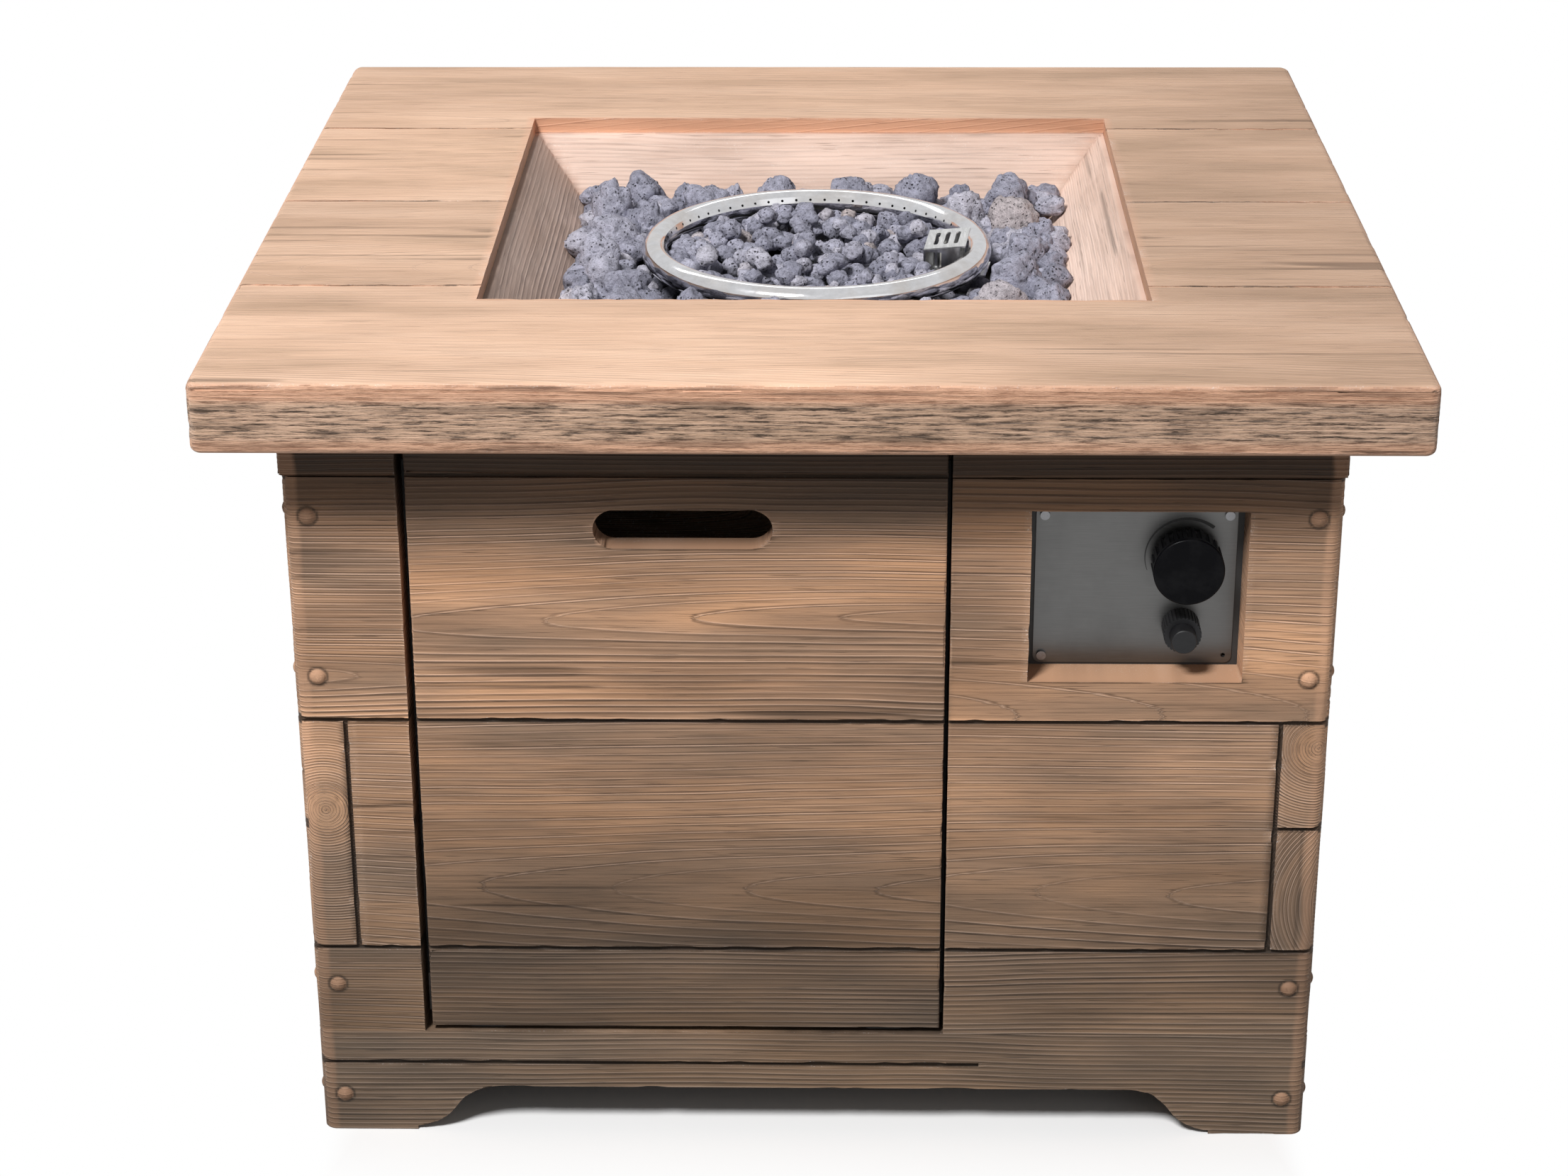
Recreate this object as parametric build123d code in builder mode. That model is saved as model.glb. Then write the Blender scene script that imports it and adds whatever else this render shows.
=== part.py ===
"""Propane fire pit table: a cast timber-look table top on a hollow square base of four cast panels,
with a sunken lava rock well, a ring burner, a recessed control panel and a lift-off door.

Millimetres, +Z up, the front faces -Y. The origin is on the floor under the middle of the table."""
import math
import os
import random

from build123d import *

# Overall sizes
top_width = 813.0
top_thickness = 50.0
top_overhang = 49.5
total_height = 597.0
wall = 30.0

# Fits shared by all pieces
overrun = 1.0
screw_clearance = 0.05
running_clearance = 0.05
loose_clearance = 0.15
seat_gap = 0.3

# Table top
top_edge_round = 6.0
top_corner_round = 8.0
top_plank_count = 4
top_seam_width = 2.0
top_seam_depth = 1.0

# Sunken well: opening in the top, and the sloped cast surround fixed under it
top_border = 172.8
well_lip = 12.0
surround_reveal = 4.2
surround_flange_width = 32.0
surround_flange = 14.0
surround_fit = 0.5
surround_drop = 60.0
surround_foot = 8.0
surround_skin = 23.0
surround_neck = 20.0
slope_run = 49.5

# Base panels
corner_round = 5.0
foot_width = 69.0
foot_rise = 37.0
foot_sweep = 58.0
foot_toe = 3.0
foot_bow = 4.0
band_height = 33.0
band_proud = 1.5
seam_width = 3.0
seam_depth = 2.5
seam_height_shares = (0.607, 0.278)
foot_seam_height = 57.0
foot_seam_length = 477.0
corner_block_width = 34.0
block_split_height_share = 0.457
pocket_depth = 14.0
pocket_side_rim = 45.0
pocket_top_rim = 70.0
pocket_bottom_rim = 25.0
stud_radius = 5.3
stud_rise = 2.6
stud_root = 0.5
stud_inset = 17.0
stud_height_shares = (0.885, 0.667, 0.223, 0.055)

# Door and doorway
left_stile_width = 78.0
pier_width = 54.0
doorway_sill = 83.5
door_left_gap = 5.0
door_right_gap = 2.5
door_bottom_gap = 3.5
door_top_gap = 6.0
door_skin = 20.0
door_rim = 30.0
door_edge_round = 2.5
hand_slot_width = 121.0
hand_slot_height = 28.0
hand_slot_drop = 66.0
hand_slot_offset = 4.0
glide_width = 30.0
glide_depth = 18.0
glide_inset = 40.0
stop_thickness = 2.0
stop_lap = 14.0
stop_wall_lap = 22.0
stop_end_inset = 27.0
stop_screw_count = 3
stop_screw_inset = 40.0
magnet_radius = 5.5
magnet_thickness = 3.0
magnet_end_inset = 110.0

# Fixing screws
screw_head_radius = 4.0
screw_head_height = 2.8
screw_shank_radius = 2.0
screw_bite = 14.0
top_bite = 8.0

# Angle brackets inside the base
angle_thickness = 2.0
corner_angle_leg = 22.0
corner_angle_height = 60.0
corner_angle_level_shares = (0.24, 0.53)
top_angle_leg = 40.0
top_angle_width = 40.0
top_angle_spread_share = 0.46

# Burner pan and lava rock
sheet = 1.2
pan_depth = 25.0
pan_inset = 2.0
pan_corner_round = 8.0
pan_drain_radius = 4.0
pan_drain_inset = 62.0
pan_screw_spread_share = 0.61
surround_screw_spread_share = 0.51
rock_clearance = 0.4
rock_bed_drop = 57.0
rock_seed = 7
rock_tries = 260
rock_gap = 0.4
rock_base_clearance = 1.5
inner_rock_radii = (16.0, 13.5, 11.0, 8.5)
inner_rock_heights = (34.0, 29.0, 25.0, 20.0)
inner_rock_counts = (12, 16, 16, 14)
outer_rock_radii = (23.0, 19.5, 16.0, 12.0)
outer_rock_heights = (38.0, 34.0, 29.0, 23.0)
outer_rock_counts = (12, 14, 16, 16)
rock_level_shares = (0.0, 0.42, 0.98)
rock_spread_shares = (0.86, 1.0, 0.6)
rock_rough_share = 0.82
rock_top_rough_share = 0.8
rock_level_points = (6, 6, 4)

# Ring burner
ring_inset = 54.5
ring_tube_radius = 9.5
ring_tube_wall = 1.2
ring_drop = 37.0
port_count = 64
port_radius = 1.0
port_land = 5.0
port_tilt_degrees = 22.0
leg_radius = 4.0
leg_angles_degrees = (30.0, 150.0, 270.0)
inlet_angle_degrees = 90.0
inlet_radius = 8.5
inlet_bore = 6.5
inlet_shoulder_radius = 12.0
inlet_shoulder_height = 4.0
locknut_across = 27.0
locknut_height = 8.0

# Air mixer, jet and feed tube
mixer_gap = 5.0
mixer_length = 60.0
mixer_socket = 15.0
mixer_collar_radius = 12.0
mixer_waist_radius = 9.5
mixer_mouth_radius = 13.0
mixer_throat_radius = 6.0
mixer_collar_length = 18.0
mixer_mouth_length = 14.0
mixer_window_width = 7.0
mixer_window_height = 18.0
jet_thread_radius = 5.0
jet_thread_length = 12.0
jet_bore = 0.8
jet_supply_bore = 3.0
jet_hex_across = 17.0
jet_hex_height = 8.0
flare_radius = 6.0
flare_length = 10.0
flare_nut_across = 17.0
flare_nut_length = 20.0
feed_radius = 4.75
feed_bore = 3.9
feed_bend = 24.0
feed_rise = 38.0
feed_run_back = 112.0
feed_turn_place_shares = (0.59, 0.375)

# Control window, plate and bracket
window_width = 146.0
window_height = 126.0
window_side_inset = 63.0
window_drop = 58.0
plate_thickness = 1.0
plate_side_gap = 4.5
plate_bottom_gap = 2.0
plate_top_gap = 8.0
plate_corner_round = 5.0
plate_hole_inset = 5.7
plate_screw_radius = 1.5
plate_screw_length = 7.0
plate_screw_head_radius = 3.3
plate_screw_head_height = 2.2
bracket_sheet = 1.5
bracket_lap = 20.0
bracket_lip = 20.0
bracket_screw_inset = 10.0

# Gas valve and knob
dial_from_plate_right = 34.5
dial_from_plate_top = 37.0
valve_width = 36.0
valve_tall = 40.0
valve_depth = 42.0
valve_edge_round = 3.0
neck_radius = 8.0
neck_reach = 5.0
valve_nut_across = 20.0
valve_nut_height = 4.0
stem_radius = 4.0
stem_flat_depth = 1.0
plug_radius = 10.0
plug_length = 22.0
plug_port_place_share = 0.75
valve_front_wall = 10.5
tongue_width = 7.0
tongue_thickness = 3.0
tongue_length = 17.5
tongue_slot_depth = 18.0
plug_port_radius = 2.5
push_travel = 4.0
knob_radius = 24.3
knob_length = 21.0
knob_front_setback = 2.0
knob_front_round = 2.0
knob_cup_radius = 17.0
knob_cup_depth = 9.0
knob_flute_count = 24
knob_flute_radius = 1.8
knob_stem_socket = 8.0
inlet_hex_across = 19.0
inlet_hex_length = 8.0
gas_inlet_radius = 7.95
gas_inlet_length = 14.0
gas_inlet_nose = 4.0
gas_inlet_nose_radius = 5.0
gas_passage = 3.5
outlet_hex_across = 22.0
outlet_hex_length = 8.0

# Igniter
igniter_from_plate_right = 36.0
igniter_from_plate_bottom = 28.5
igniter_radius = 11.0
igniter_reach = 6.0
igniter_depth = 60.0
igniter_end_wall = 4.0
igniter_terminal_radius = 3.0
igniter_terminal_length = 8.0
igniter_nut_across = 28.0
igniter_nut_height = 6.0
collar_radius = 13.0
collar_length = 18.0
collar_lip = 4.0
collar_groove_count = 30
collar_groove_radius = 0.7
button_radius = 8.9
button_reach = 12.0
button_flange = 2.0
button_edge_round = 1.5
button_plunger_radius = 3.5
button_plunger_length = 8.5
battery_radius = 7.25
battery_length = 49.0
battery_tip_radius = 2.7
battery_tip_length = 1.5

# Pilot shield, electrode and thermocouple
pilot_angle_degrees = -9.0
pilot_reach_in = 39.0
pilot_roof_gap = 7.5
pilot_wall_gap = 11.5
pilot_width = 34.0
pilot_height = 22.5
pilot_roof_rise_out = 4.2
pilot_roof_rise_back = 4.6
pilot_post = 1.6
pilot_opening_width = 12.0
pilot_opening_drop = 3.0
pilot_slot_count = 3
pilot_slot_length = 21.0
pilot_slot_width = 3.4
pilot_slot_pitch = 7.7
pilot_base_reach = 8.0
probe_spread = 9.0
probe_from_ring = 30.0
probe_collar_radius = 4.5
probe_collar_height = 3.0
electrode_radius = 3.0
electrode_tip_radius = 0.8
electrode_rise = 12.0
electrode_tip_length = 8.0
electrode_drop = 38.0
thermocouple_radius = 2.5
thermocouple_rise = 18.0
thermocouple_drop = 45.0
probe_hole_radius = 16.0

# Places worked out from the sizes above
base_height = total_height - top_thickness
base_half = top_width / 2 - top_overhang
inner_half = base_half - wall
top_underside = base_height
seam_heights = tuple(base_height * share for share in seam_height_shares)
stud_heights = tuple(base_height * share for share in stud_height_shares)
block_split_height = base_height * block_split_height_share
corner_angle_levels = tuple(base_height * share for share in corner_angle_level_shares)
top_angle_spread = inner_half * top_angle_spread_share
shoulder_height = total_height - well_lip
well_half = top_width / 2 - top_border
surround_inner_half = well_half - surround_reveal
surround_outer_half = surround_inner_half + surround_flange_width
rebate_half = surround_outer_half + surround_fit
slope_foot_half = surround_inner_half - slope_run
slope_foot_height = shoulder_height - surround_drop
surround_bottom = slope_foot_height - surround_foot
surround_base_half = slope_foot_half + surround_skin
surround_flange_under = shoulder_height - surround_flange
surround_neck_half = surround_outer_half - surround_neck
surround_screw_place = surround_outer_half - surround_neck / 2
pan_half = slope_foot_half - pan_inset
pan_flange_half = surround_base_half
pan_floor = surround_bottom - pan_depth
pan_under = pan_floor - sheet
pan_screw_place = slope_foot_half + surround_skin / 2
pan_screw_spread = slope_foot_half * pan_screw_spread_share
pan_drain_spread = pan_half - pan_drain_inset
surround_screw_spread = well_half * surround_screw_spread_share
rock_bed_top = total_height - rock_bed_drop
ring_radius = pan_half - ring_inset
ring_centre_height = total_height - ring_drop
pilot_inner = ring_radius - pilot_reach_in
pilot_outer = ring_radius - pilot_roof_gap
pilot_wall_outer = ring_radius - pilot_wall_gap
probe_place = ring_radius - probe_from_ring
window_right = base_half - window_side_inset
window_left = window_right - window_width
window_top = base_height - window_drop
window_bottom = window_top - window_height
doorway_left = -base_half + left_stile_width
doorway_right = window_left - pier_width
door_left = doorway_left + door_left_gap
door_right = doorway_right - door_right_gap
door_bottom = doorway_sill + door_bottom_gap
door_top = base_height - door_top_gap
door_thickness = wall - seat_gap
door_middle = (door_left + door_right) / 2
door_middle_height = (door_bottom + door_top) / 2
front_y = -base_half
inner_front_y = -inner_half
plate_left = window_left + plate_side_gap
plate_right = window_right - plate_side_gap
plate_bottom = window_bottom + plate_bottom_gap
plate_top = window_top - plate_top_gap
plate_front_y = inner_front_y - plate_thickness
bracket_back_y = inner_front_y + bracket_sheet
bracket_left = window_left - bracket_lap
bracket_right = window_right + bracket_lap
bracket_bottom = window_bottom - bracket_lap
bracket_top = window_top + bracket_lap
dial_x = plate_right - dial_from_plate_right
dial_z = plate_top - dial_from_plate_top
igniter_x = plate_right - igniter_from_plate_right
igniter_z = plate_bottom + igniter_from_plate_bottom
valve_back_y = bracket_back_y + valve_depth
chamber_front_y = bracket_back_y + valve_front_wall
inlet_x = ring_radius * math.cos(math.radians(inlet_angle_degrees))
inlet_y = ring_radius * math.sin(math.radians(inlet_angle_degrees))
mixer_top = pan_under - locknut_height - mixer_gap
mixer_bottom = mixer_top - mixer_length
jet_end = mixer_bottom - jet_hex_height - flare_length
pilot_turn = math.radians(pilot_angle_degrees)
pilot_floor = ring_centre_height - ring_tube_radius
base_seams = (base_height - band_height,) + seam_heights


# Shared shapes
def seats(places, outward):
    """Planes at each place, with their normals along the outward direction."""
    return [Plane(origin=place, z_dir=outward) for place in places]


def screw(head_radius, head_height, shank_radius, shank_length):
    """A cylinder-head screw seated on the local XY plane, with its shank along local -Z."""
    Cylinder(head_radius, head_height, align=(Align.CENTER, Align.CENTER, Align.MIN))
    Cylinder(shank_radius, shank_length, align=(Align.CENTER, Align.CENTER, Align.MAX))


def fixing_screw(shank_length):
    screw(screw_head_radius, screw_head_height, screw_shank_radius, shank_length)


def screw_hole(depth, radius=screw_shank_radius):
    """The hole under a screw's seat, cut along local -Z."""
    cut_align = (Align.CENTER, Align.CENTER, Align.MAX)
    Cylinder(radius + screw_clearance, depth + overrun, align=cut_align, mode=Mode.SUBTRACT)


def hexagon(across):
    RegularPolygon(across / 2, 6, major_radius=False)


def bowed(start, end, bow):
    """The middle of an arc from start to end that stands bow to the left of its chord."""
    run = end[0] - start[0]
    rise = end[1] - start[1]
    length = math.hypot(run, rise)
    return ((start[0] + end[0]) / 2 - rise / length * bow, (start[1] + end[1]) / 2 + run / length * bow)


def panel_outline(half):
    """A base panel seen square on: bracket feet with an ogee sweep on each side of a raised apron."""
    foot_inner = base_half - foot_width
    apron_end = foot_inner - foot_sweep
    toe = (foot_inner, foot_toe)
    apron = (apron_end, foot_rise)
    middle = ((foot_inner + apron_end) / 2, (foot_toe + foot_rise) / 2)
    upper = bowed(apron, middle, foot_bow)
    lower = bowed(middle, toe, -foot_bow)
    with BuildSketch(mode=Mode.PRIVATE) as outline:
        with BuildLine():
            Polyline((half, 0), (half, base_height), (-half, base_height), (-half, 0), (-foot_inner, 0))
            Line((-foot_inner, 0), (-toe[0], toe[1]))
            ThreePointArc((-toe[0], toe[1]), (-lower[0], lower[1]), (-middle[0], middle[1]))
            ThreePointArc((-middle[0], middle[1]), (-upper[0], upper[1]), (-apron[0], apron[1]))
            Line((-apron[0], apron[1]), apron)
            ThreePointArc(apron, upper, middle)
            ThreePointArc(middle, lower, toe)
            Line(toe, (foot_inner, 0))
            Line((foot_inner, 0), (half, 0))
        make_face()
    return outline.sketch


def cut_seams(face, half, heights):
    """Shallow horizontal seams across a panel's outer face."""
    with BuildSketch(face) as lines:
        for height in heights:
            with Locations((0, height)):
                Rectangle(2 * half + overrun, seam_width)
    extrude(lines.sketch, amount=-seam_depth, mode=Mode.SUBTRACT)


def cut_pocket(face, half):
    """The hollow back of a cast panel, cut from its inner face."""
    pocket_bottom = foot_rise + pocket_bottom_rim
    pocket_top = base_height - pocket_top_rim
    with BuildSketch(face) as hollow:
        with Locations((0, (pocket_bottom + pocket_top) / 2)):
            RectangleRounded(2 * half, pocket_top - pocket_bottom, corner_round)
    extrude(hollow.sketch, amount=pocket_depth, mode=Mode.SUBTRACT)


def tube_along(points, bends, radius, bore):
    """A hollow tube of straight runs and tangent arcs."""
    with BuildLine(mode=Mode.PRIVATE) as route:
        FilletPolyline(*points, radius=bends)
    start = Plane(origin=route.line @ 0, z_dir=route.line % 0)
    with BuildSketch(start, mode=Mode.PRIVATE) as section:
        Circle(radius)
        Circle(bore, mode=Mode.SUBTRACT)
    sweep(section.sketch, path=route.line)


os.makedirs("parts", exist_ok=True)

# Places of the fasteners
fixing_bite = angle_thickness + screw_bite
down = (0, 0, -1)
surround_screw_points = []
pan_screw_points = []
for side in (-1, 1):
    for along in (-1, 1):
        reach = side * surround_screw_place
        step = along * surround_screw_spread
        surround_screw_points.append((reach, step, surround_flange_under))
        surround_screw_points.append((step, reach, surround_flange_under))
        pan_reach = side * pan_screw_place
        pan_step = along * pan_screw_spread
        pan_screw_points.append((pan_reach, pan_step, surround_bottom - sheet))
        pan_screw_points.append((pan_step, pan_reach, surround_bottom - sheet))
surround_screw_seats = seats(surround_screw_points, down)
pan_screw_seats = seats(pan_screw_points, down)

# Corner angles: each is placed by its corner, its two inward directions and its height
corner_places = [(x, y, level) for x in (-1, 1) for y in (-1, 1) for level in corner_angle_levels]
corner_side_points = []
corner_front_points = []
for x, y, level in corner_places:
    along_side = inner_half - angle_thickness
    screw_place = inner_half - corner_angle_leg / 2
    corner_side_points.append((x, Plane(origin=(x * along_side, y * screw_place, level), z_dir=(-x, 0, 0))))
    corner_front_points.append((y, Plane(origin=(x * screw_place, y * along_side, level), z_dir=(0, -y, 0))))

# Top angles: on the two sides and the back, where the doorway and the controls leave room
top_angle_frames = []
for along in (-1, 1):
    step = along * top_angle_spread
    top_angle_frames.append(("left", (-inner_half, step), (1, 0)))
    top_angle_frames.append(("right", (inner_half, step), (-1, 0)))
    top_angle_frames.append(("back", (step, inner_half), (0, -1)))
top_wall_seats = {"left": [], "right": [], "back": []}
top_slab_seats = []
for name, (x, y), (inward_x, inward_y) in top_angle_frames:
    wall_x = x + inward_x * angle_thickness
    wall_y = y + inward_y * angle_thickness
    wall_point = (wall_x, wall_y, base_height - top_angle_leg / 2)
    top_wall_seats[name].append(Plane(origin=wall_point, z_dir=(inward_x, inward_y, 0)))
    mid_leg = top_angle_leg / 2 + angle_thickness
    slab_point = (x + inward_x * mid_leg, y + inward_y * mid_leg, base_height - angle_thickness)
    top_slab_seats.append(Plane(origin=slab_point, z_dir=down))
top_angle_seats = top_slab_seats + top_wall_seats["left"] + top_wall_seats["right"] + top_wall_seats["back"]

# Door hardware places: stop strips lap the door's edges, magnets sit in its rim
stop_spans = (
    (doorway_left - stop_wall_lap, door_left + stop_lap),
    (door_right - stop_lap, doorway_right + stop_wall_lap),
)
stop_low = door_bottom + stop_end_inset
stop_high = door_top - stop_end_inset
stop_screw_points = []
for x in (doorway_left - stop_wall_lap / 2, doorway_right + stop_wall_lap / 2):
    for step in range(stop_screw_count):
        run = stop_high - stop_low - 2 * stop_screw_inset
        height = stop_low + stop_screw_inset + run * step / (stop_screw_count - 1)
        stop_screw_points.append((x, inner_front_y + stop_thickness, height))
stop_screw_seats = seats(stop_screw_points, (0, 1, 0))
magnet_points = []
for x in (door_left + stop_lap / 2, door_right - stop_lap / 2):
    for height in (door_bottom + magnet_end_inset, door_top - magnet_end_inset):
        magnet_points.append((x, front_y + door_thickness, height))
magnet_seats = seats(magnet_points, (0, 1, 0))

# Control panel fastener places
bracket_screw_points = []
for x in (bracket_left + bracket_screw_inset, bracket_right - bracket_screw_inset):
    for height in (bracket_bottom + bracket_screw_inset, bracket_top - bracket_screw_inset):
        bracket_screw_points.append((x, bracket_back_y, height))
bracket_screw_seats = seats(bracket_screw_points, (0, 1, 0))
plate_hole_points = []
for height in (plate_top - plate_hole_inset, plate_bottom + plate_hole_inset):
    for x in (plate_left + plate_hole_inset, plate_right - plate_hole_inset):
        plate_hole_points.append((x, plate_front_y, height))
plate_hole_seats = seats(plate_hole_points, (0, -1, 0))
plate_screw_seats = plate_hole_seats[:-1]

# Control places: valve, knob and igniter
bracket_middle = (bracket_left + bracket_right) / 2
bracket_middle_height = (bracket_bottom + bracket_top) / 2
neck_length = bracket_sheet + plate_thickness + neck_reach
inlet_y_valve = chamber_front_y + plug_length * plug_port_place_share
valve_side_x = dial_x - valve_width / 2
inlet_seat = Plane(origin=(valve_side_x, inlet_y_valve, dial_z), x_dir=(0, 1, 0), z_dir=(-1, 0, 0))
outlet_seat = Plane(origin=(dial_x, valve_back_y, dial_z), x_dir=(1, 0, 0), z_dir=(0, 1, 0))
knob_front_y = front_y + knob_front_setback
knob_back_y = knob_front_y + knob_length
stem_back_y = chamber_front_y + seat_gap - push_travel - 2 * seat_gap
igniter_plate = Plane(origin=(igniter_x, plate_front_y, igniter_z), x_dir=(1, 0, 0), z_dir=(0, -1, 0))
igniter_front = igniter_plate.offset(igniter_reach)
button_flange_radius = igniter_radius - seat_gap
button_seat = igniter_plate.offset(collar_length - collar_lip - seat_gap)
button_length = collar_lip + seat_gap + button_reach

# Pilot places, turned about the burner's axis
probe_x = probe_place * math.cos(pilot_turn)
probe_y = probe_place * math.sin(pilot_turn)
pilot_end_x = pilot_outer * math.cos(pilot_turn)
pilot_end_y = pilot_outer * math.sin(pilot_turn)
pilot_clear_radius = math.hypot(pilot_width / 2, pilot_wall_outer - probe_place) + rock_base_clearance
spread_x = -probe_spread * math.sin(pilot_turn)
spread_y = probe_spread * math.cos(pilot_turn)
electrode_place = (probe_x + spread_x, probe_y + spread_y)
thermocouple_place = (probe_x - spread_x, probe_y - spread_y)

# Gas port directions: inward and upward from the middle of the ring's tube
port_tilt = math.radians(port_tilt_degrees)
port_seats = []
for step in range(port_count):
    turn = 2 * math.pi * (step + 1 / 2) / port_count
    middle = (ring_radius * math.cos(turn), ring_radius * math.sin(turn), ring_centre_height)
    level_reach = -math.cos(port_tilt)
    inward = (level_reach * math.cos(turn), level_reach * math.sin(turn), math.sin(port_tilt))
    port_seats.append(Plane(origin=middle, z_dir=inward))

# Feed tube route
outlet_end_y = valve_back_y + outlet_hex_length + flare_length
feed_low = jet_end - feed_rise
feed_start = (dial_x, outlet_end_y, dial_z)
feed_leave = (dial_x, outlet_end_y + feed_run_back, dial_z)
feed_turn_x = inlet_x + (dial_x - inlet_x) * feed_turn_place_shares[0]
feed_turn_y = inlet_y + (feed_leave[1] - inlet_y) * feed_turn_place_shares[1]
feed_route = (
    feed_start,
    feed_leave,
    (feed_turn_x, feed_turn_y, feed_low),
    (inlet_x, inlet_y, feed_low),
    (inlet_x, inlet_y, jet_end),
)
flare_seats = (
    Plane(origin=(dial_x, valve_back_y + outlet_hex_length, dial_z), x_dir=(1, 0, 0), z_dir=(0, 1, 0)),
    Plane(origin=(inlet_x, inlet_y, jet_end + flare_length), x_dir=(1, 0, 0), z_dir=down),
)

# Table top: one cast slab with rounded edges, plank seams and a rebated opening
with BuildPart() as table_top:
    with BuildSketch(Plane.XY.offset(top_underside)):
        Rectangle(top_width, top_width)
    extrude(amount=top_thickness)
    fillet(table_top.edges().filter_by(Axis.Z), radius=top_corner_round)
    rim_edges = table_top.faces().sort_by(Axis.Z)[-1].edges() + table_top.faces().sort_by(Axis.Z)[0].edges()
    fillet(rim_edges, radius=top_edge_round)
    with BuildSketch(Plane.XY.offset(top_underside)):
        Rectangle(2 * well_half, 2 * well_half)
    extrude(amount=top_thickness, mode=Mode.SUBTRACT)
    with BuildSketch(Plane.XY.offset(top_underside)):
        Rectangle(2 * rebate_half, 2 * rebate_half)
    extrude(amount=shoulder_height - top_underside, mode=Mode.SUBTRACT)
    with BuildSketch(Plane.XY.offset(total_height)):
        for seam in range(1, top_plank_count):
            with Locations((0, top_width * (seam / top_plank_count - 1 / 2))):
                Rectangle(top_width + overrun, top_seam_width)
    extrude(amount=-top_seam_depth, mode=Mode.SUBTRACT)
    with Locations(*surround_screw_seats):
        screw_hole(surround_flange + top_bite)
    with Locations(*top_slab_seats):
        screw_hole(fixing_bite)
table_top.part.label = "table_top"
export_step(table_top.part, "parts/table_top.step")

# Well surround: a cast square funnel, hung under the top's opening by its flange
with BuildPart() as well_surround:
    with BuildSketch(Plane.XY.offset(surround_flange_under)):
        Rectangle(2 * surround_outer_half, 2 * surround_outer_half)
    extrude(amount=surround_flange)
    with BuildSketch(Plane.XY.offset(surround_bottom)) as funnel_foot:
        Rectangle(2 * surround_base_half, 2 * surround_base_half)
    with BuildSketch(Plane.XY.offset(surround_flange_under)) as funnel_neck:
        Rectangle(2 * surround_neck_half, 2 * surround_neck_half)
    loft(sections=[funnel_foot.sketch, funnel_neck.sketch], ruled=True)
    with BuildSketch(Plane.XY.offset(slope_foot_height)) as slope_foot:
        Rectangle(2 * slope_foot_half, 2 * slope_foot_half)
    with BuildSketch(Plane.XY.offset(shoulder_height)) as slope_head:
        Rectangle(2 * surround_inner_half, 2 * surround_inner_half)
    loft(sections=[slope_foot.sketch, slope_head.sketch], ruled=True, mode=Mode.SUBTRACT)
    extrude(slope_foot.sketch, amount=-surround_foot, mode=Mode.SUBTRACT)
    with Locations(*surround_screw_seats):
        screw_hole(surround_flange)
    with Locations(*pan_screw_seats):
        screw_hole(sheet + screw_bite)
well_surround.part.label = "well_surround"
export_step(well_surround.part, "parts/well_surround.step")

with BuildPart() as surround_screws:
    with Locations(*surround_screw_seats):
        fixing_screw(surround_flange + top_bite)
surround_screws.part.label = "surround_screws"
export_step(surround_screws.part, "parts/surround_screws.step")

# Base panels: front and back run the full width, the sides stand between them
front_face = Plane.XZ.offset(base_half)
back_face = Plane(origin=(0, base_half, 0), x_dir=(-1, 0, 0), z_dir=(0, 1, 0))
left_face = Plane(origin=(-base_half, 0, 0), x_dir=(0, -1, 0), z_dir=(-1, 0, 0))
right_face = Plane(origin=(base_half, 0, 0), x_dir=(0, 1, 0), z_dir=(1, 0, 0))
band_half = base_half + band_proud
stud_ball = (stud_radius ** 2 + stud_rise ** 2) / (2 * stud_rise)
stud_place = base_half - stud_inset
stud_crown = base_half + stud_rise
stud_root_latitude = math.degrees(math.asin(1 - (stud_rise + stud_root) / stud_ball))


def stud():
    """A round stud head, cast into the panel, with its crown at the local origin."""
    Sphere(stud_ball, arc_size1=stud_root_latitude, align=(Align.CENTER, Align.CENTER, Align.MAX))


def add_band(strip_low, strip_high):
    """The band along a panel's top edge, standing proud of it, cut from one rounded square."""
    with BuildSketch(Plane.XY.offset(base_height - band_height)) as band:
        RectangleRounded(2 * band_half, 2 * band_half, corner_round)
        with Locations(((strip_low[0] + strip_high[0]) / 2, (strip_low[1] + strip_high[1]) / 2)):
            Rectangle(strip_high[0] - strip_low[0], strip_high[1] - strip_low[1], mode=Mode.INTERSECT)
    extrude(band.sketch, amount=band_height)


def full_panel(panel, face, front):
    """A full-width panel with rounded corners, top band, seams, corner blocks and cast studs."""
    extrude(face * panel_outline(base_half), amount=-wall)
    outer_edges = panel.edges().filter_by(Axis.Z).group_by(Axis.Y)[0 if front < 0 else -1].sort_by(Axis.X)
    fillet([outer_edges[0], outer_edges[-1]], radius=corner_round)
    if front < 0:
        add_band((-band_half, -band_half), (band_half, -inner_half))
    else:
        add_band((-band_half, inner_half), (band_half, band_half))
    cut_seams(face, band_half, base_seams)
    block_top, block_bottom = seam_heights
    with BuildSketch(face) as blocks:
        for side in (-1, 1):
            with Locations((side * (base_half - corner_block_width), (block_top + block_bottom) / 2)):
                Rectangle(seam_width, block_top - block_bottom)
        with Locations((base_half - corner_block_width / 2, block_split_height)):
            Rectangle(corner_block_width, seam_width)
    extrude(blocks.sketch, amount=-seam_depth, mode=Mode.SUBTRACT)
    for height in stud_heights:
        for side in (-1, 1):
            face_point = (side * stud_place, front * stud_crown, height)
            end_point = (side * stud_crown, front * stud_place, height)
            with Locations(Plane(origin=face_point, z_dir=(0, front, 0))):
                stud()
            with Locations(Plane(origin=end_point, z_dir=(side, 0, 0))):
                stud()
    for y, seat in corner_front_points:
        if y == front:
            with Locations(seat):
                screw_hole(fixing_bite)


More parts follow.
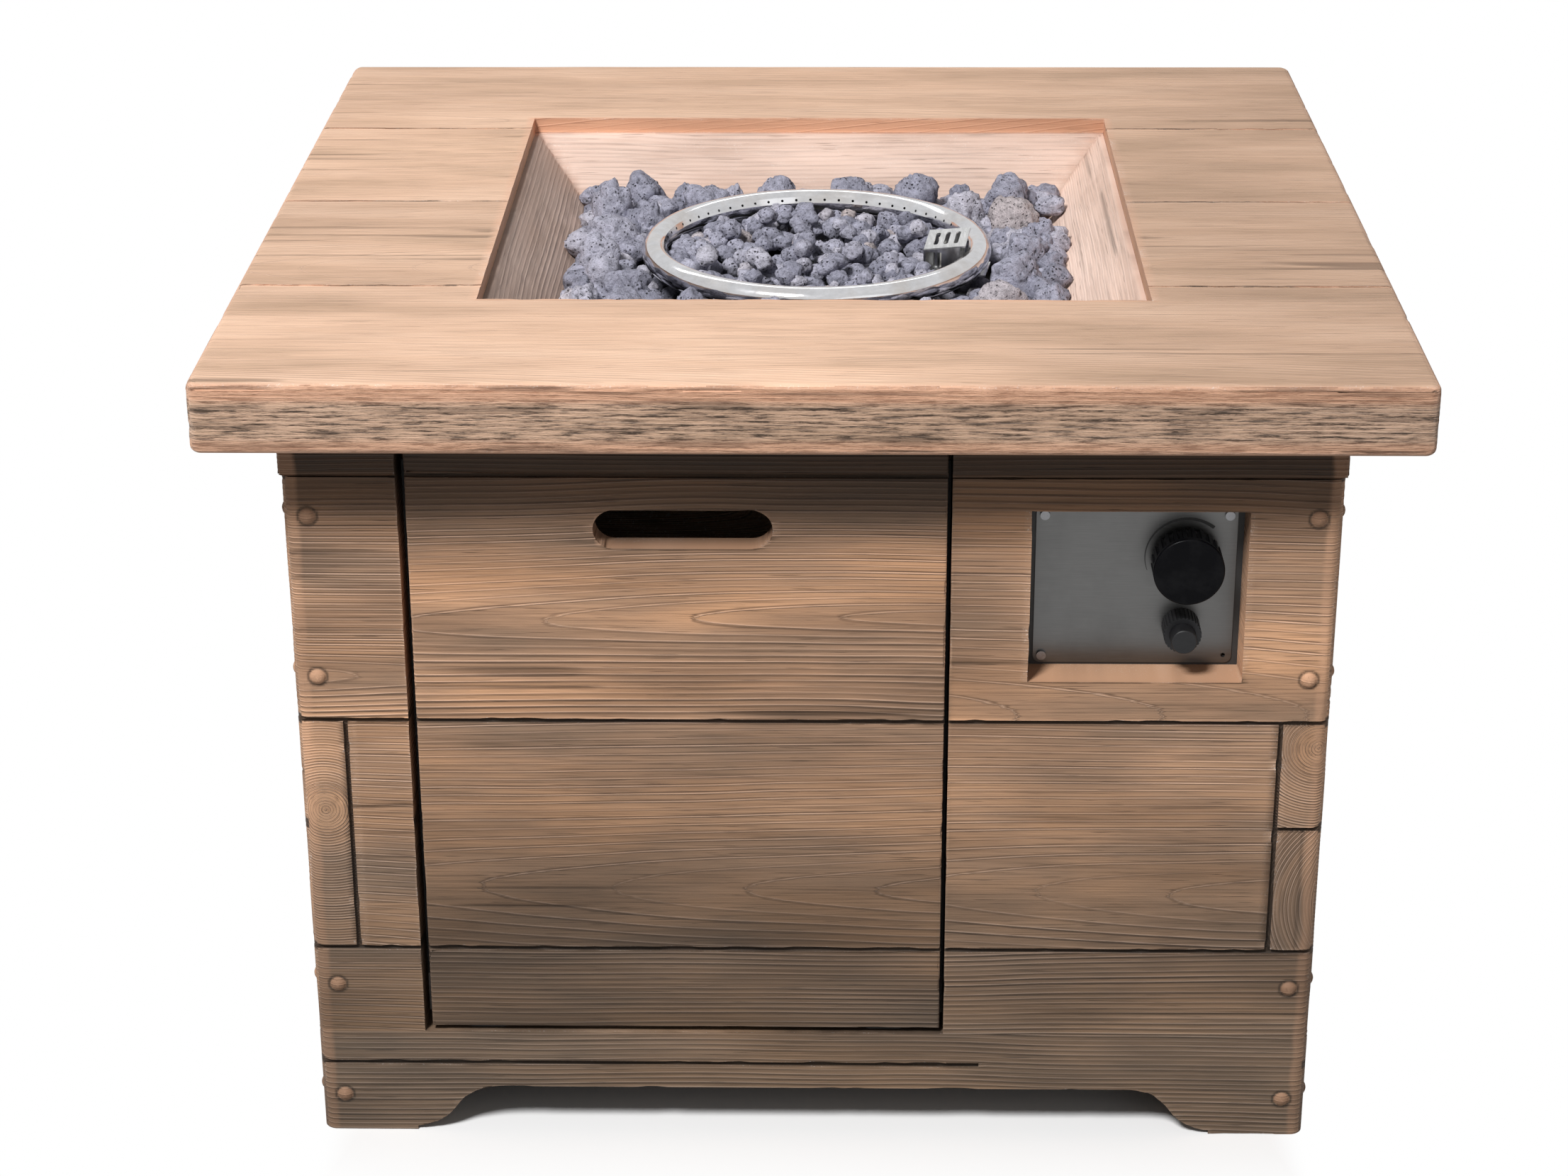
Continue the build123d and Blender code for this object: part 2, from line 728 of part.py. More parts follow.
def side_panel(face, side):
    """A side panel between the front and back panels, with a hollow back."""
    extrude(face * panel_outline(inner_half), amount=-wall)
    if side < 0:
        add_band((-band_half, -inner_half), (-inner_half, inner_half))
    else:
        add_band((inner_half, -inner_half), (band_half, inner_half))
    cut_seams(face, inner_half, base_seams)
    cut_pocket(face.offset(-wall), inner_half - pocket_side_rim)
    for x, seat in corner_side_points:
        if x == side:
            with Locations(seat):
                screw_hole(fixing_bite)


with BuildPart() as front_wall:
    full_panel(front_wall, front_face, -1)
    with BuildSketch(front_face.offset(band_proud)) as doorway:
        with Locations(((doorway_left + doorway_right) / 2, (doorway_sill + base_height) / 2)):
            Rectangle(doorway_right - doorway_left, base_height - doorway_sill)
        with Locations(((window_left + window_right) / 2, (window_bottom + window_top) / 2)):
            Rectangle(window_right - window_left, window_top - window_bottom)
    extrude(doorway.sketch, amount=-(wall + band_proud), mode=Mode.SUBTRACT)
    with BuildSketch(front_face) as foot_seam:
        with Locations((-base_half, foot_seam_height)):
            Rectangle(foot_seam_length, seam_width, align=(Align.MIN, Align.CENTER))
    extrude(foot_seam.sketch, amount=-seam_depth, mode=Mode.SUBTRACT)
    with Locations(*bracket_screw_seats):
        screw_hole(bracket_sheet + screw_bite)
    with Locations(*stop_screw_seats):
        screw_hole(stop_thickness + screw_bite)
front_wall.part.label = "front_wall"
export_step(front_wall.part, "parts/front_wall.step")

with BuildPart() as back_wall:
    full_panel(back_wall, back_face, 1)
    cut_pocket(back_face.offset(-wall), inner_half - pocket_side_rim)
    with Locations(*top_wall_seats["back"]):
        screw_hole(fixing_bite)
back_wall.part.label = "back_wall"
export_step(back_wall.part, "parts/back_wall.step")

with BuildPart() as left_wall:
    side_panel(left_face, -1)
    with Locations(*top_wall_seats["left"]):
        screw_hole(fixing_bite)
left_wall.part.label = "left_wall"
export_step(left_wall.part, "parts/left_wall.step")

with BuildPart() as right_wall:
    side_panel(right_face, 1)
    with Locations(*top_wall_seats["right"]):
        screw_hole(fixing_bite)
right_wall.part.label = "right_wall"
export_step(right_wall.part, "parts/right_wall.step")

# Angles that join the panels at each corner, seated on both inner faces
with BuildPart() as corner_angles:
    for x, y, level in corner_places:
        with BuildSketch(Plane.XY.offset(level - corner_angle_height / 2)) as profile:
            angle_place = inner_half - corner_angle_leg / 2
            with Locations((x * angle_place, y * angle_place)):
                Rectangle(corner_angle_leg, corner_angle_leg)
            hollow = corner_angle_leg - angle_thickness
            hollow_place = inner_half - angle_thickness - hollow / 2
            with Locations((x * hollow_place, y * hollow_place)):
                Rectangle(hollow, hollow, mode=Mode.SUBTRACT)
        extrude(profile.sketch, amount=corner_angle_height)
    with Locations(*[seat for _, seat in corner_side_points + corner_front_points]):
        screw_hole(angle_thickness)
corner_angles.part.label = "corner_angles"
export_step(corner_angles.part, "parts/corner_angles.step")

with BuildPart() as corner_screws:
    with Locations(*[seat for _, seat in corner_side_points + corner_front_points]):
        fixing_screw(fixing_bite)
corner_screws.part.label = "corner_screws"
export_step(corner_screws.part, "parts/corner_screws.step")

# Angles that hold the table top down on the side and back panels
with BuildPart() as top_angles:
    for name, (x, y), (inward_x, inward_y) in top_angle_frames:
        inward = (inward_x, inward_y, 0)
        across = Plane(origin=(x, y, base_height), x_dir=inward, z_dir=(inward_y, -inward_x, 0))
        with BuildSketch(across) as profile:
            with Locations((0, 0)):
                Rectangle(angle_thickness, top_angle_leg, align=(Align.MIN, Align.MAX))
                Rectangle(top_angle_leg, angle_thickness, align=(Align.MIN, Align.MAX))
        extrude(profile.sketch, amount=top_angle_width / 2, both=True)
    with Locations(*top_angle_seats):
        screw_hole(angle_thickness)
top_angles.part.label = "top_angles"
export_step(top_angles.part, "parts/top_angles.step")

with BuildPart() as top_angle_screws:
    with Locations(*top_angle_seats):
        fixing_screw(fixing_bite)
top_angle_screws.part.label = "top_angle_screws"
export_step(top_angle_screws.part, "parts/top_angle_screws.step")

# Door: a cast panel with a hollow back and a hand slot, standing loose in the doorway
with BuildPart() as door_panel:
    with BuildSketch(front_face):
        with Locations((door_middle, door_middle_height)):
            Rectangle(door_right - door_left, door_top - door_bottom)
    extrude(amount=-door_thickness)
    fillet(door_panel.faces().sort_by(Axis.Y)[0].edges(), radius=door_edge_round)
    with BuildSketch(front_face.offset(-door_skin)) as door_hollow:
        with Locations((door_middle, door_middle_height)):
            hollow_width = door_right - door_left - 2 * door_rim
            hollow_height = door_top - door_bottom - 2 * door_rim
            RectangleRounded(hollow_width, hollow_height, corner_round)
    extrude(door_hollow.sketch, amount=-(door_thickness - door_skin), mode=Mode.SUBTRACT)
    with BuildSketch(front_face) as hand_slot:
        with Locations((door_middle + hand_slot_offset, door_top - hand_slot_drop)):
            SlotOverall(hand_slot_width, hand_slot_height)
    extrude(hand_slot.sketch, amount=-door_thickness, mode=Mode.SUBTRACT)
    with BuildSketch(front_face) as door_seams:
        for height in base_seams:
            with Locations((door_middle, height)):
                Rectangle(door_right - door_left + overrun, seam_width)
    extrude(door_seams.sketch, amount=-seam_depth, mode=Mode.SUBTRACT)
    with Locations(*magnet_seats):
        Cylinder(
            magnet_radius + running_clearance,
            magnet_thickness,
            align=(Align.CENTER, Align.CENTER, Align.MAX),
            mode=Mode.SUBTRACT,
        )
door_panel.part.label = "door_panel"
export_step(door_panel.part, "parts/door_panel.step")

with BuildPart() as door_magnets:
    with Locations(*magnet_seats):
        Cylinder(magnet_radius, magnet_thickness, align=(Align.CENTER, Align.CENTER, Align.MAX))
door_magnets.part.label = "door_magnets"
export_step(door_magnets.part, "parts/door_magnets.step")

# Glides under the door: they carry it just clear of the sill
with BuildPart() as door_glides:
    glide_y = front_y + door_thickness / 2
    for x in (door_left + glide_inset, door_right - glide_inset):
        with Locations((x, glide_y, door_bottom)):
            Box(
                glide_width,
                glide_depth,
                door_bottom_gap - seat_gap,
                align=(Align.CENTER, Align.CENTER, Align.MAX),
            )
    fillet(door_glides.edges().filter_by(Axis.Z), radius=corner_round)
door_glides.part.label = "door_glides"
export_step(door_glides.part, "parts/door_glides.step")

# Steel strips behind the doorway's jambs, which the door's magnets hold on to
with BuildPart() as door_stops:
    with BuildSketch(Plane.XZ.offset(inner_half)):
        for low, high in stop_spans:
            with Locations(((low + high) / 2, door_middle_height)):
                Rectangle(high - low, door_top - door_bottom - 2 * stop_end_inset)
    extrude(amount=-stop_thickness)
    with Locations(*stop_screw_seats):
        screw_hole(stop_thickness)
door_stops.part.label = "door_stops"
export_step(door_stops.part, "parts/door_stops.step")

with BuildPart() as stop_screws:
    with Locations(*stop_screw_seats):
        fixing_screw(stop_thickness + screw_bite)
stop_screws.part.label = "stop_screws"
export_step(stop_screws.part, "parts/stop_screws.step")

# Burner pan: a folded steel tray, hung by its flange under the surround
with BuildPart() as burner_pan:
    with BuildSketch(Plane.XY.offset(pan_under)):
        RectangleRounded(2 * (pan_half + sheet), 2 * (pan_half + sheet), pan_corner_round + sheet)
    extrude(amount=surround_bottom - pan_under)
    with BuildSketch(Plane.XY.offset(surround_bottom - sheet)):
        RectangleRounded(2 * pan_flange_half, 2 * pan_flange_half, pan_corner_round)
    extrude(amount=sheet)
    with BuildSketch(Plane.XY.offset(pan_floor)):
        RectangleRounded(2 * pan_half, 2 * pan_half, pan_corner_round)
    extrude(amount=pan_depth, mode=Mode.SUBTRACT)
    with Locations((inlet_x, inlet_y, pan_floor)):
        Hole(inlet_radius + screw_clearance)
    with Locations((probe_x, probe_y, pan_floor)):
        Hole(probe_hole_radius)
    with GridLocations(2 * pan_drain_spread, 2 * pan_drain_spread, 2, 2):
        Cylinder(pan_drain_radius, 2 * pan_floor, mode=Mode.SUBTRACT)
    with Locations(*pan_screw_seats):
        screw_hole(sheet)
burner_pan.part.label = "burner_pan"
export_step(burner_pan.part, "parts/burner_pan.step")

with BuildPart() as pan_screws:
    with Locations(*pan_screw_seats):
        fixing_screw(sheet + screw_bite)
pan_screws.part.label = "pan_screws"
export_step(pan_screws.part, "parts/pan_screws.step")

# Ring burner: a hollow ring with gas ports drilled in a narrow land on its inner, upper side
def ring_section(radius):
    """The tube's section: a circle with a straight land across the ports' direction."""
    reach = math.sqrt(radius ** 2 - (port_land / 2) ** 2)
    out_x = -math.cos(port_tilt)
    out_z = math.sin(port_tilt)
    centre_x = ring_radius
    centre_z = ring_centre_height
    half_land = port_land / 2
    low = (centre_x + out_x * reach - out_z * half_land, centre_z + out_z * reach + out_x * half_land)
    high = (centre_x + out_x * reach + out_z * half_land, centre_z + out_z * reach - out_x * half_land)
    far = (centre_x - out_x * radius, centre_z - out_z * radius)
    with BuildSketch(Plane.XZ, mode=Mode.PRIVATE) as section:
        with BuildLine():
            ThreePointArc(low, far, high)
            Line(high, low)
        make_face()
    return section.sketch


with BuildPart() as burner_ring:
    revolve(ring_section(ring_tube_radius), axis=Axis.Z)
    revolve(ring_section(ring_tube_radius - ring_tube_wall), axis=Axis.Z, mode=Mode.SUBTRACT)
    with Locations(*port_seats):
        Cylinder(
            port_radius,
            ring_tube_radius + overrun,
            align=(Align.CENTER, Align.CENTER, Align.MIN),
            mode=Mode.SUBTRACT,
        )
    with Locations((inlet_x, inlet_y, ring_centre_height)):
        Cylinder(
            inlet_bore,
            ring_tube_radius + overrun,
            align=(Align.CENTER, Align.CENTER, Align.MAX),
            mode=Mode.SUBTRACT,
        )
burner_ring.part.label = "burner_ring"
export_step(burner_ring.part, "parts/burner_ring.step")

# Legs under the ring, notched to its tube
with BuildPart() as ring_legs:
    for angle in leg_angles_degrees:
        turn = math.radians(angle)
        with Locations((ring_radius * math.cos(turn), ring_radius * math.sin(turn), pan_floor)):
            leg_length = ring_centre_height - pan_floor
            Cylinder(leg_radius, leg_length, align=(Align.CENTER, Align.CENTER, Align.MIN))
    with Locations((0, 0, ring_centre_height)):
        Torus(ring_radius, ring_tube_radius + screw_clearance, mode=Mode.SUBTRACT)
ring_legs.part.label = "ring_legs"
export_step(ring_legs.part, "parts/ring_legs.step")

# Inlet pipe: notched to the ring, with a shoulder on the pan's floor
with BuildPart() as burner_inlet:
    with BuildSketch(Plane.XY.offset(mixer_top - mixer_socket)):
        with Locations((inlet_x, inlet_y)):
            Circle(inlet_radius)
    extrude(amount=ring_centre_height - mixer_top + mixer_socket)
    with BuildSketch(Plane.XY.offset(pan_floor)):
        with Locations((inlet_x, inlet_y)):
            Circle(inlet_shoulder_radius)
    extrude(amount=inlet_shoulder_height)
    with Locations((0, 0, ring_centre_height)):
        Torus(ring_radius, ring_tube_radius + screw_clearance, mode=Mode.SUBTRACT)
    with BuildSketch(Plane.XY.offset(mixer_top - mixer_socket)):
        with Locations((inlet_x, inlet_y)):
            Circle(inlet_bore)
    extrude(amount=ring_centre_height - mixer_top + mixer_socket, mode=Mode.SUBTRACT)
burner_inlet.part.label = "burner_inlet"
export_step(burner_inlet.part, "parts/burner_inlet.step")

with BuildPart() as inlet_locknut:
    with BuildSketch(Plane.XY.offset(pan_under)):
        with Locations((inlet_x, inlet_y)):
            hexagon(locknut_across)
            Circle(inlet_radius + screw_clearance, mode=Mode.SUBTRACT)
    extrude(amount=-locknut_height)
inlet_locknut.part.label = "inlet_locknut"
export_step(inlet_locknut.part, "parts/inlet_locknut.step")

# Air mixer: a waisted casting with a socket above, air windows and a mouth for the jet below
with BuildPart() as air_mixer:
    with BuildSketch(Plane(origin=(inlet_x, inlet_y, 0), x_dir=(1, 0, 0), z_dir=(0, -1, 0))):
        with BuildLine():
            waist_top = mixer_top - mixer_collar_length
            waist_bottom = mixer_bottom + mixer_mouth_length
            Polyline(
                (0, mixer_top),
                (mixer_collar_radius, mixer_top),
                (mixer_collar_radius, waist_top),
                (mixer_waist_radius, waist_top),
                (mixer_mouth_radius, waist_bottom),
                (mixer_mouth_radius, mixer_bottom),
                (0, mixer_bottom),
                close=True,
            )
        make_face()
    revolve(axis=Axis((inlet_x, inlet_y, 0), (0, 0, 1)))
    with BuildSketch(Plane.XY.offset(mixer_top)):
        with Locations((inlet_x, inlet_y)):
            Circle(inlet_radius + screw_clearance)
    extrude(amount=-mixer_socket, mode=Mode.SUBTRACT)
    with BuildSketch(Plane.XY.offset(mixer_top)):
        with Locations((inlet_x, inlet_y)):
            Circle(mixer_throat_radius)
    extrude(amount=-(mixer_length - mixer_mouth_length), mode=Mode.SUBTRACT)
    with BuildSketch(Plane.XY.offset(mixer_bottom)):
        with Locations((inlet_x, inlet_y)):
            Circle(jet_thread_radius + screw_clearance)
    extrude(amount=mixer_mouth_length, mode=Mode.SUBTRACT)
    with Locations((inlet_x, inlet_y, waist_bottom + mixer_window_height / 2)):
        Box(2 * mixer_mouth_radius + overrun, mixer_window_width, mixer_window_height, mode=Mode.SUBTRACT)
        Box(mixer_window_width, 2 * mixer_mouth_radius + overrun, mixer_window_height, mode=Mode.SUBTRACT)
air_mixer.part.label = "air_mixer"
export_step(air_mixer.part, "parts/air_mixer.step")

# Gas jet: threaded nose in the mixer, hexagon, flare end for the feed tube's nut
with BuildPart() as gas_jet:
    with BuildSketch(Plane.XY.offset(mixer_bottom)):
        with Locations((inlet_x, inlet_y)):
            hexagon(jet_hex_across)
    extrude(amount=-jet_hex_height)
    with BuildSketch(Plane.XY.offset(mixer_bottom)):
        with Locations((inlet_x, inlet_y)):
            Circle(jet_thread_radius)
    extrude(amount=jet_thread_length)
    with BuildSketch(Plane.XY.offset(jet_end)):
        with Locations((inlet_x, inlet_y)):
            Circle(flare_radius)
    extrude(amount=flare_length)
    with BuildSketch(Plane.XY.offset(jet_end)):
        with Locations((inlet_x, inlet_y)):
            Circle(jet_bore)
    extrude(amount=flare_length + jet_hex_height + jet_thread_length, mode=Mode.SUBTRACT)
    with BuildSketch(Plane.XY.offset(jet_end)):
        with Locations((inlet_x, inlet_y)):
            Circle(jet_supply_bore)
    extrude(amount=flare_length + jet_hex_height, mode=Mode.SUBTRACT)
gas_jet.part.label = "gas_jet"
export_step(gas_jet.part, "parts/gas_jet.step")

# Feed tube from the valve's outlet to the jet, with a flare nut at each end
with BuildPart() as feed_tube:
    tube_along(feed_route, feed_bend, feed_radius, feed_bore)
feed_tube.part.label = "feed_tube"
export_step(feed_tube.part, "parts/feed_tube.step")

with BuildPart() as flare_nuts:
    for seat in flare_seats:
        with BuildSketch(seat) as nut_body:
            hexagon(flare_nut_across)
        extrude(nut_body.sketch, amount=flare_nut_length)
        with BuildSketch(seat) as nut_thread:
            Circle(flare_radius + screw_clearance)
        extrude(nut_thread.sketch, amount=flare_length, mode=Mode.SUBTRACT)
        with BuildSketch(seat) as nut_bore:
            Circle(feed_radius + screw_clearance)
        extrude(nut_bore.sketch, amount=flare_nut_length, mode=Mode.SUBTRACT)
flare_nuts.part.label = "flare_nuts"
export_step(flare_nuts.part, "parts/flare_nuts.step")

# Control bracket: a sheet behind the window, with folded lips above and below
with BuildPart() as control_bracket:
    with BuildSketch(Plane.XZ.offset(inner_half)):
        with Locations((bracket_middle, bracket_middle_height)):
            Rectangle(bracket_right - bracket_left, bracket_top - bracket_bottom)
    extrude(amount=-bracket_sheet)
    for height, side in ((bracket_top, Align.MAX), (bracket_bottom, Align.MIN)):
        with Locations((bracket_middle, inner_front_y, height)):
            Box(
                bracket_right - bracket_left,
                bracket_lip,
                bracket_sheet,
                align=(Align.CENTER, Align.MIN, side),
            )
    with Locations(Plane(origin=(dial_x, inner_front_y, dial_z), z_dir=(0, -1, 0))):
        screw_hole(bracket_sheet, neck_radius)
    with Locations(Plane(origin=(igniter_x, inner_front_y, igniter_z), z_dir=(0, -1, 0))):
        screw_hole(bracket_sheet, igniter_radius)
    with Locations(*plate_hole_seats):
        screw_hole(plate_thickness + bracket_sheet, plate_screw_radius)
    with Locations(*bracket_screw_seats):
        screw_hole(bracket_sheet)
control_bracket.part.label = "control_bracket"
export_step(control_bracket.part, "parts/control_bracket.step")

with BuildPart() as bracket_screws:
    with Locations(*bracket_screw_seats):
        fixing_screw(bracket_sheet + screw_bite)
bracket_screws.part.label = "bracket_screws"
export_step(bracket_screws.part, "parts/bracket_screws.step")

# Control plate: a brushed plate in the window, with one of its corner holes left empty
with BuildPart() as control_plate:
    with BuildSketch(Plane.XZ.offset(-plate_front_y)):
        with Locations(((plate_left + plate_right) / 2, (plate_bottom + plate_top) / 2)):
            RectangleRounded(plate_right - plate_left, plate_top - plate_bottom, plate_corner_round)
    extrude(amount=-plate_thickness)
    with Locations(Plane(origin=(dial_x, plate_front_y, dial_z), z_dir=(0, -1, 0))):
        screw_hole(plate_thickness, neck_radius)
    with Locations(Plane(origin=(igniter_x, plate_front_y, igniter_z), z_dir=(0, -1, 0))):
        screw_hole(plate_thickness, igniter_radius)
    with Locations(*plate_hole_seats):
        screw_hole(plate_thickness, plate_screw_radius)
control_plate.part.label = "control_plate"
export_step(control_plate.part, "parts/control_plate.step")

with BuildPart() as plate_screws:
    with Locations(*plate_screw_seats):
        screw(plate_screw_head_radius, plate_screw_head_height, plate_screw_radius, plate_screw_length)
plate_screws.part.label = "plate_screws"
export_step(plate_screws.part, "parts/plate_screws.step")

# Gas valve body: a block behind the bracket, with a threaded neck through it and a bored chamber
dial_front = Plane(origin=(dial_x, bracket_back_y, dial_z), x_dir=(1, 0, 0), z_dir=(0, -1, 0))
with BuildPart() as valve_body:
    with BuildSketch(dial_front):
        RectangleRounded(valve_width, valve_tall, valve_edge_round)
    extrude(amount=-valve_depth)
    with BuildSketch(dial_front):
        Circle(neck_radius)
    extrude(amount=neck_length)
    with BuildSketch(dial_front.offset(neck_length)):
        Circle(stem_radius + running_clearance)
    extrude(amount=-(neck_length + valve_depth), mode=Mode.SUBTRACT)
    with BuildSketch(dial_front.offset(-valve_depth)):
        Circle(plug_radius)
    extrude(amount=valve_depth - valve_front_wall, mode=Mode.SUBTRACT)
    with BuildSketch(inlet_seat):
        Circle(gas_passage)
    extrude(amount=-valve_width / 2, mode=Mode.SUBTRACT)
valve_body.part.label = "valve_body"
export_step(valve_body.part, "parts/valve_body.step")

with BuildPart() as valve_nut:
    with BuildSketch(Plane(origin=(dial_x, plate_front_y, dial_z), x_dir=(1, 0, 0), z_dir=(0, -1, 0))):
        hexagon(valve_nut_across)
        Circle(neck_radius + screw_clearance, mode=Mode.SUBTRACT)
    extrude(amount=valve_nut_height)
valve_nut.part.label = "valve_nut"
export_step(valve_nut.part, "parts/valve_nut.step")

# Valve plug: turns in the chamber, with a slot that the stem's tongue drives
plug_front = Plane(origin=(dial_x, chamber_front_y + seat_gap, dial_z), x_dir=(1, 0, 0), z_dir=(0, -1, 0))
with BuildPart() as valve_plug:
    with BuildSketch(plug_front):
        Circle(plug_radius - running_clearance)
    extrude(amount=-plug_length)
    with BuildSketch(plug_front):
        Rectangle(tongue_width + 2 * loose_clearance, tongue_thickness + 2 * loose_clearance)
    extrude(amount=-tongue_slot_depth, mode=Mode.SUBTRACT)
    with BuildSketch(Plane(origin=(dial_x, inlet_y_valve, dial_z), x_dir=(0, 1, 0), z_dir=(-1, 0, 0))):
        Circle(plug_port_radius)
    extrude(amount=plug_radius, mode=Mode.SUBTRACT)
    with BuildSketch(plug_front.offset(-plug_length)):
        Circle(plug_port_radius)
    extrude(amount=plug_length - tongue_slot_depth + overrun, mode=Mode.SUBTRACT)
valve_plug.part.label = "valve_plug"
export_step(valve_plug.part, "parts/valve_plug.step")

# Stem: a flatted shaft in the knob, with a tongue that slides in the plug
stem_front_y = knob_front_y + knob_length - knob_cup_depth - knob_stem_socket
with BuildPart() as valve_stem:
    with BuildSketch(Plane.XZ.offset(-stem_front_y)):
        with Locations((dial_x, dial_z)):
            Circle(stem_radius)
    extrude(amount=-(stem_back_y - stem_front_y))
    with BuildSketch(Plane.XZ.offset(-stem_front_y)):
        with Locations((dial_x, dial_z + stem_radius)):
            Rectangle(2 * stem_radius, 2 * stem_flat_depth)
    extrude(amount=-knob_stem_socket, mode=Mode.SUBTRACT)
    with BuildSketch(Plane.XZ.offset(-stem_back_y)):
        with Locations((dial_x, dial_z)):
            Rectangle(tongue_width, tongue_thickness)
    extrude(amount=-tongue_length)
valve_stem.part.label = "valve_stem"
export_step(valve_stem.part, "parts/valve_stem.step")

# Knob: a fluted cup with a flatted socket for the stem
with BuildPart() as control_knob:
    with BuildSketch(Plane.XZ.offset(-knob_front_y)):
        with Locations((dial_x, dial_z)):
            Circle(knob_radius)
    extrude(amount=-knob_length)
    fillet(control_knob.faces().sort_by(Axis.Y)[0].edges(), radius=knob_front_round)
    with BuildSketch(Plane.XZ.offset(-knob_back_y)):
        with Locations((dial_x, dial_z)):
            Circle(knob_cup_radius)
    extrude(amount=knob_cup_depth, mode=Mode.SUBTRACT)
    with BuildSketch(Plane.XZ.offset(-(knob_back_y - knob_cup_depth))):
        with Locations((dial_x, dial_z)):
            Circle(stem_radius + screw_clearance)
        with Locations((dial_x, dial_z + stem_radius)):
            flat = 2 * (stem_flat_depth - screw_clearance)
            Rectangle(2 * stem_radius + overrun, flat, mode=Mode.SUBTRACT)
    extrude(amount=knob_stem_socket, mode=Mode.SUBTRACT)
    with BuildSketch(Plane.XZ.offset(-knob_back_y)):
        with Locations((dial_x, dial_z)):
            with PolarLocations(knob_radius, knob_flute_count):
                Circle(knob_flute_radius)
    extrude(amount=knob_length - 2 * knob_front_round, mode=Mode.SUBTRACT)
control_knob.part.label = "control_knob"
export_step(control_knob.part, "parts/control_knob.step")

# Gas inlet fitting on the valve's side: hexagon, male flare thread and coned nose
with BuildPart() as gas_inlet_fitting:
    with BuildSketch(inlet_seat):
        hexagon(inlet_hex_across)
    extrude(amount=inlet_hex_length)
    with BuildSketch(inlet_seat.offset(inlet_hex_length)):
        Circle(gas_inlet_radius)
    extrude(amount=gas_inlet_length)
    nose_start = inlet_hex_length + gas_inlet_length
    with BuildSketch(inlet_seat.offset(nose_start)) as nose_root:
        Circle(gas_inlet_radius)
    with BuildSketch(inlet_seat.offset(nose_start + gas_inlet_nose)) as nose_tip:
        Circle(gas_inlet_nose_radius)
    loft(sections=[nose_root.sketch, nose_tip.sketch])
    with BuildSketch(inlet_seat):
        Circle(gas_passage)
    extrude(amount=nose_start + gas_inlet_nose, mode=Mode.SUBTRACT)
gas_inlet_fitting.part.label = "gas_inlet_fitting"
export_step(gas_inlet_fitting.part, "parts/gas_inlet_fitting.step")

# Outlet fitting: closes the valve's chamber behind and carries the feed tube's flare
with BuildPart() as valve_outlet:
    with BuildSketch(outlet_seat):
        hexagon(outlet_hex_across)
    extrude(amount=outlet_hex_length)
    with BuildSketch(outlet_seat.offset(outlet_hex_length)):
        Circle(flare_radius)
    extrude(amount=flare_length)
    with BuildSketch(outlet_seat):
        Circle(gas_passage)
    extrude(amount=outlet_hex_length + flare_length, mode=Mode.SUBTRACT)
valve_outlet.part.label = "valve_outlet"
export_step(valve_outlet.part, "parts/valve_outlet.step")

# Igniter body: a closed tube through plate and bracket, with room for the battery
with BuildPart() as igniter_body:
    with BuildSketch(igniter_front):
        Circle(igniter_radius)
    extrude(amount=-(igniter_reach + igniter_depth))
    with BuildSketch(igniter_front):
        Circle(button_flange_radius - loose_clearance)
    extrude(amount=-igniter_reach, mode=Mode.SUBTRACT)
    with BuildSketch(igniter_front):
        Circle(battery_radius + loose_clearance)
    extrude(amount=-(igniter_reach + igniter_depth - igniter_end_wall), mode=Mode.SUBTRACT)
    with BuildSketch(igniter_front.offset(-(igniter_reach + igniter_depth))):
        Circle(igniter_terminal_radius)
    extrude(amount=-igniter_terminal_length)
igniter_body.part.label = "igniter_body"
export_step(igniter_body.part, "parts/igniter_body.step")

with BuildPart() as igniter_battery:
    battery_back = igniter_front.offset(-(igniter_reach + igniter_depth - igniter_end_wall))
    with BuildSketch(battery_back):
        Circle(battery_radius)
    extrude(amount=battery_length)
    with BuildSketch(battery_back.offset(battery_length)):
        Circle(battery_tip_radius)
    extrude(amount=battery_tip_length)
igniter_battery.part.label = "igniter_battery"
export_step(igniter_battery.part, "parts/igniter_battery.step")

with BuildPart() as igniter_nut:
    with BuildSketch(Plane(origin=(igniter_x, bracket_back_y, igniter_z), x_dir=(1, 0, 0), z_dir=(0, 1, 0))):
        hexagon(igniter_nut_across)
        Circle(igniter_radius + screw_clearance, mode=Mode.SUBTRACT)
    extrude(amount=igniter_nut_height)
igniter_nut.part.label = "igniter_nut"
export_step(igniter_nut.part, "parts/igniter_nut.step")

# Igniter collar: a knurled cap screwed on the body in front of the plate
with BuildPart() as igniter_collar:
    with BuildSketch(igniter_plate):
        Circle(collar_radius)
    extrude(amount=collar_length)
    with BuildSketch(igniter_plate):
        Circle(igniter_radius + screw_clearance)
    extrude(amount=collar_length - collar_lip, mode=Mode.SUBTRACT)
    with BuildSketch(igniter_plate):
        Circle(button_radius + loose_clearance)
    extrude(amount=collar_length, mode=Mode.SUBTRACT)
    with BuildSketch(igniter_plate):
        with PolarLocations(collar_radius, collar_groove_count):
            Circle(collar_groove_radius)
    extrude(amount=collar_length, mode=Mode.SUBTRACT)
igniter_collar.part.label = "igniter_collar"
export_step(igniter_collar.part, "parts/igniter_collar.step")

# Igniter button: a cap through the collar's lip, kept in by its flange
with BuildPart() as igniter_button:
    with BuildSketch(button_seat):
        Circle(button_radius)
    extrude(amount=button_length)
    fillet(igniter_button.faces().sort_by(Axis.Y)[0].edges(), radius=button_edge_round)
    with BuildSketch(button_seat):
        Circle(button_flange_radius)
    extrude(amount=-button_flange)
    with BuildSketch(button_seat.offset(-button_flange)):
        Circle(button_plunger_radius)
    extrude(amount=-button_plunger_length)
igniter_button.part.label = "igniter_button"
export_step(igniter_button.part, "parts/igniter_button.step")

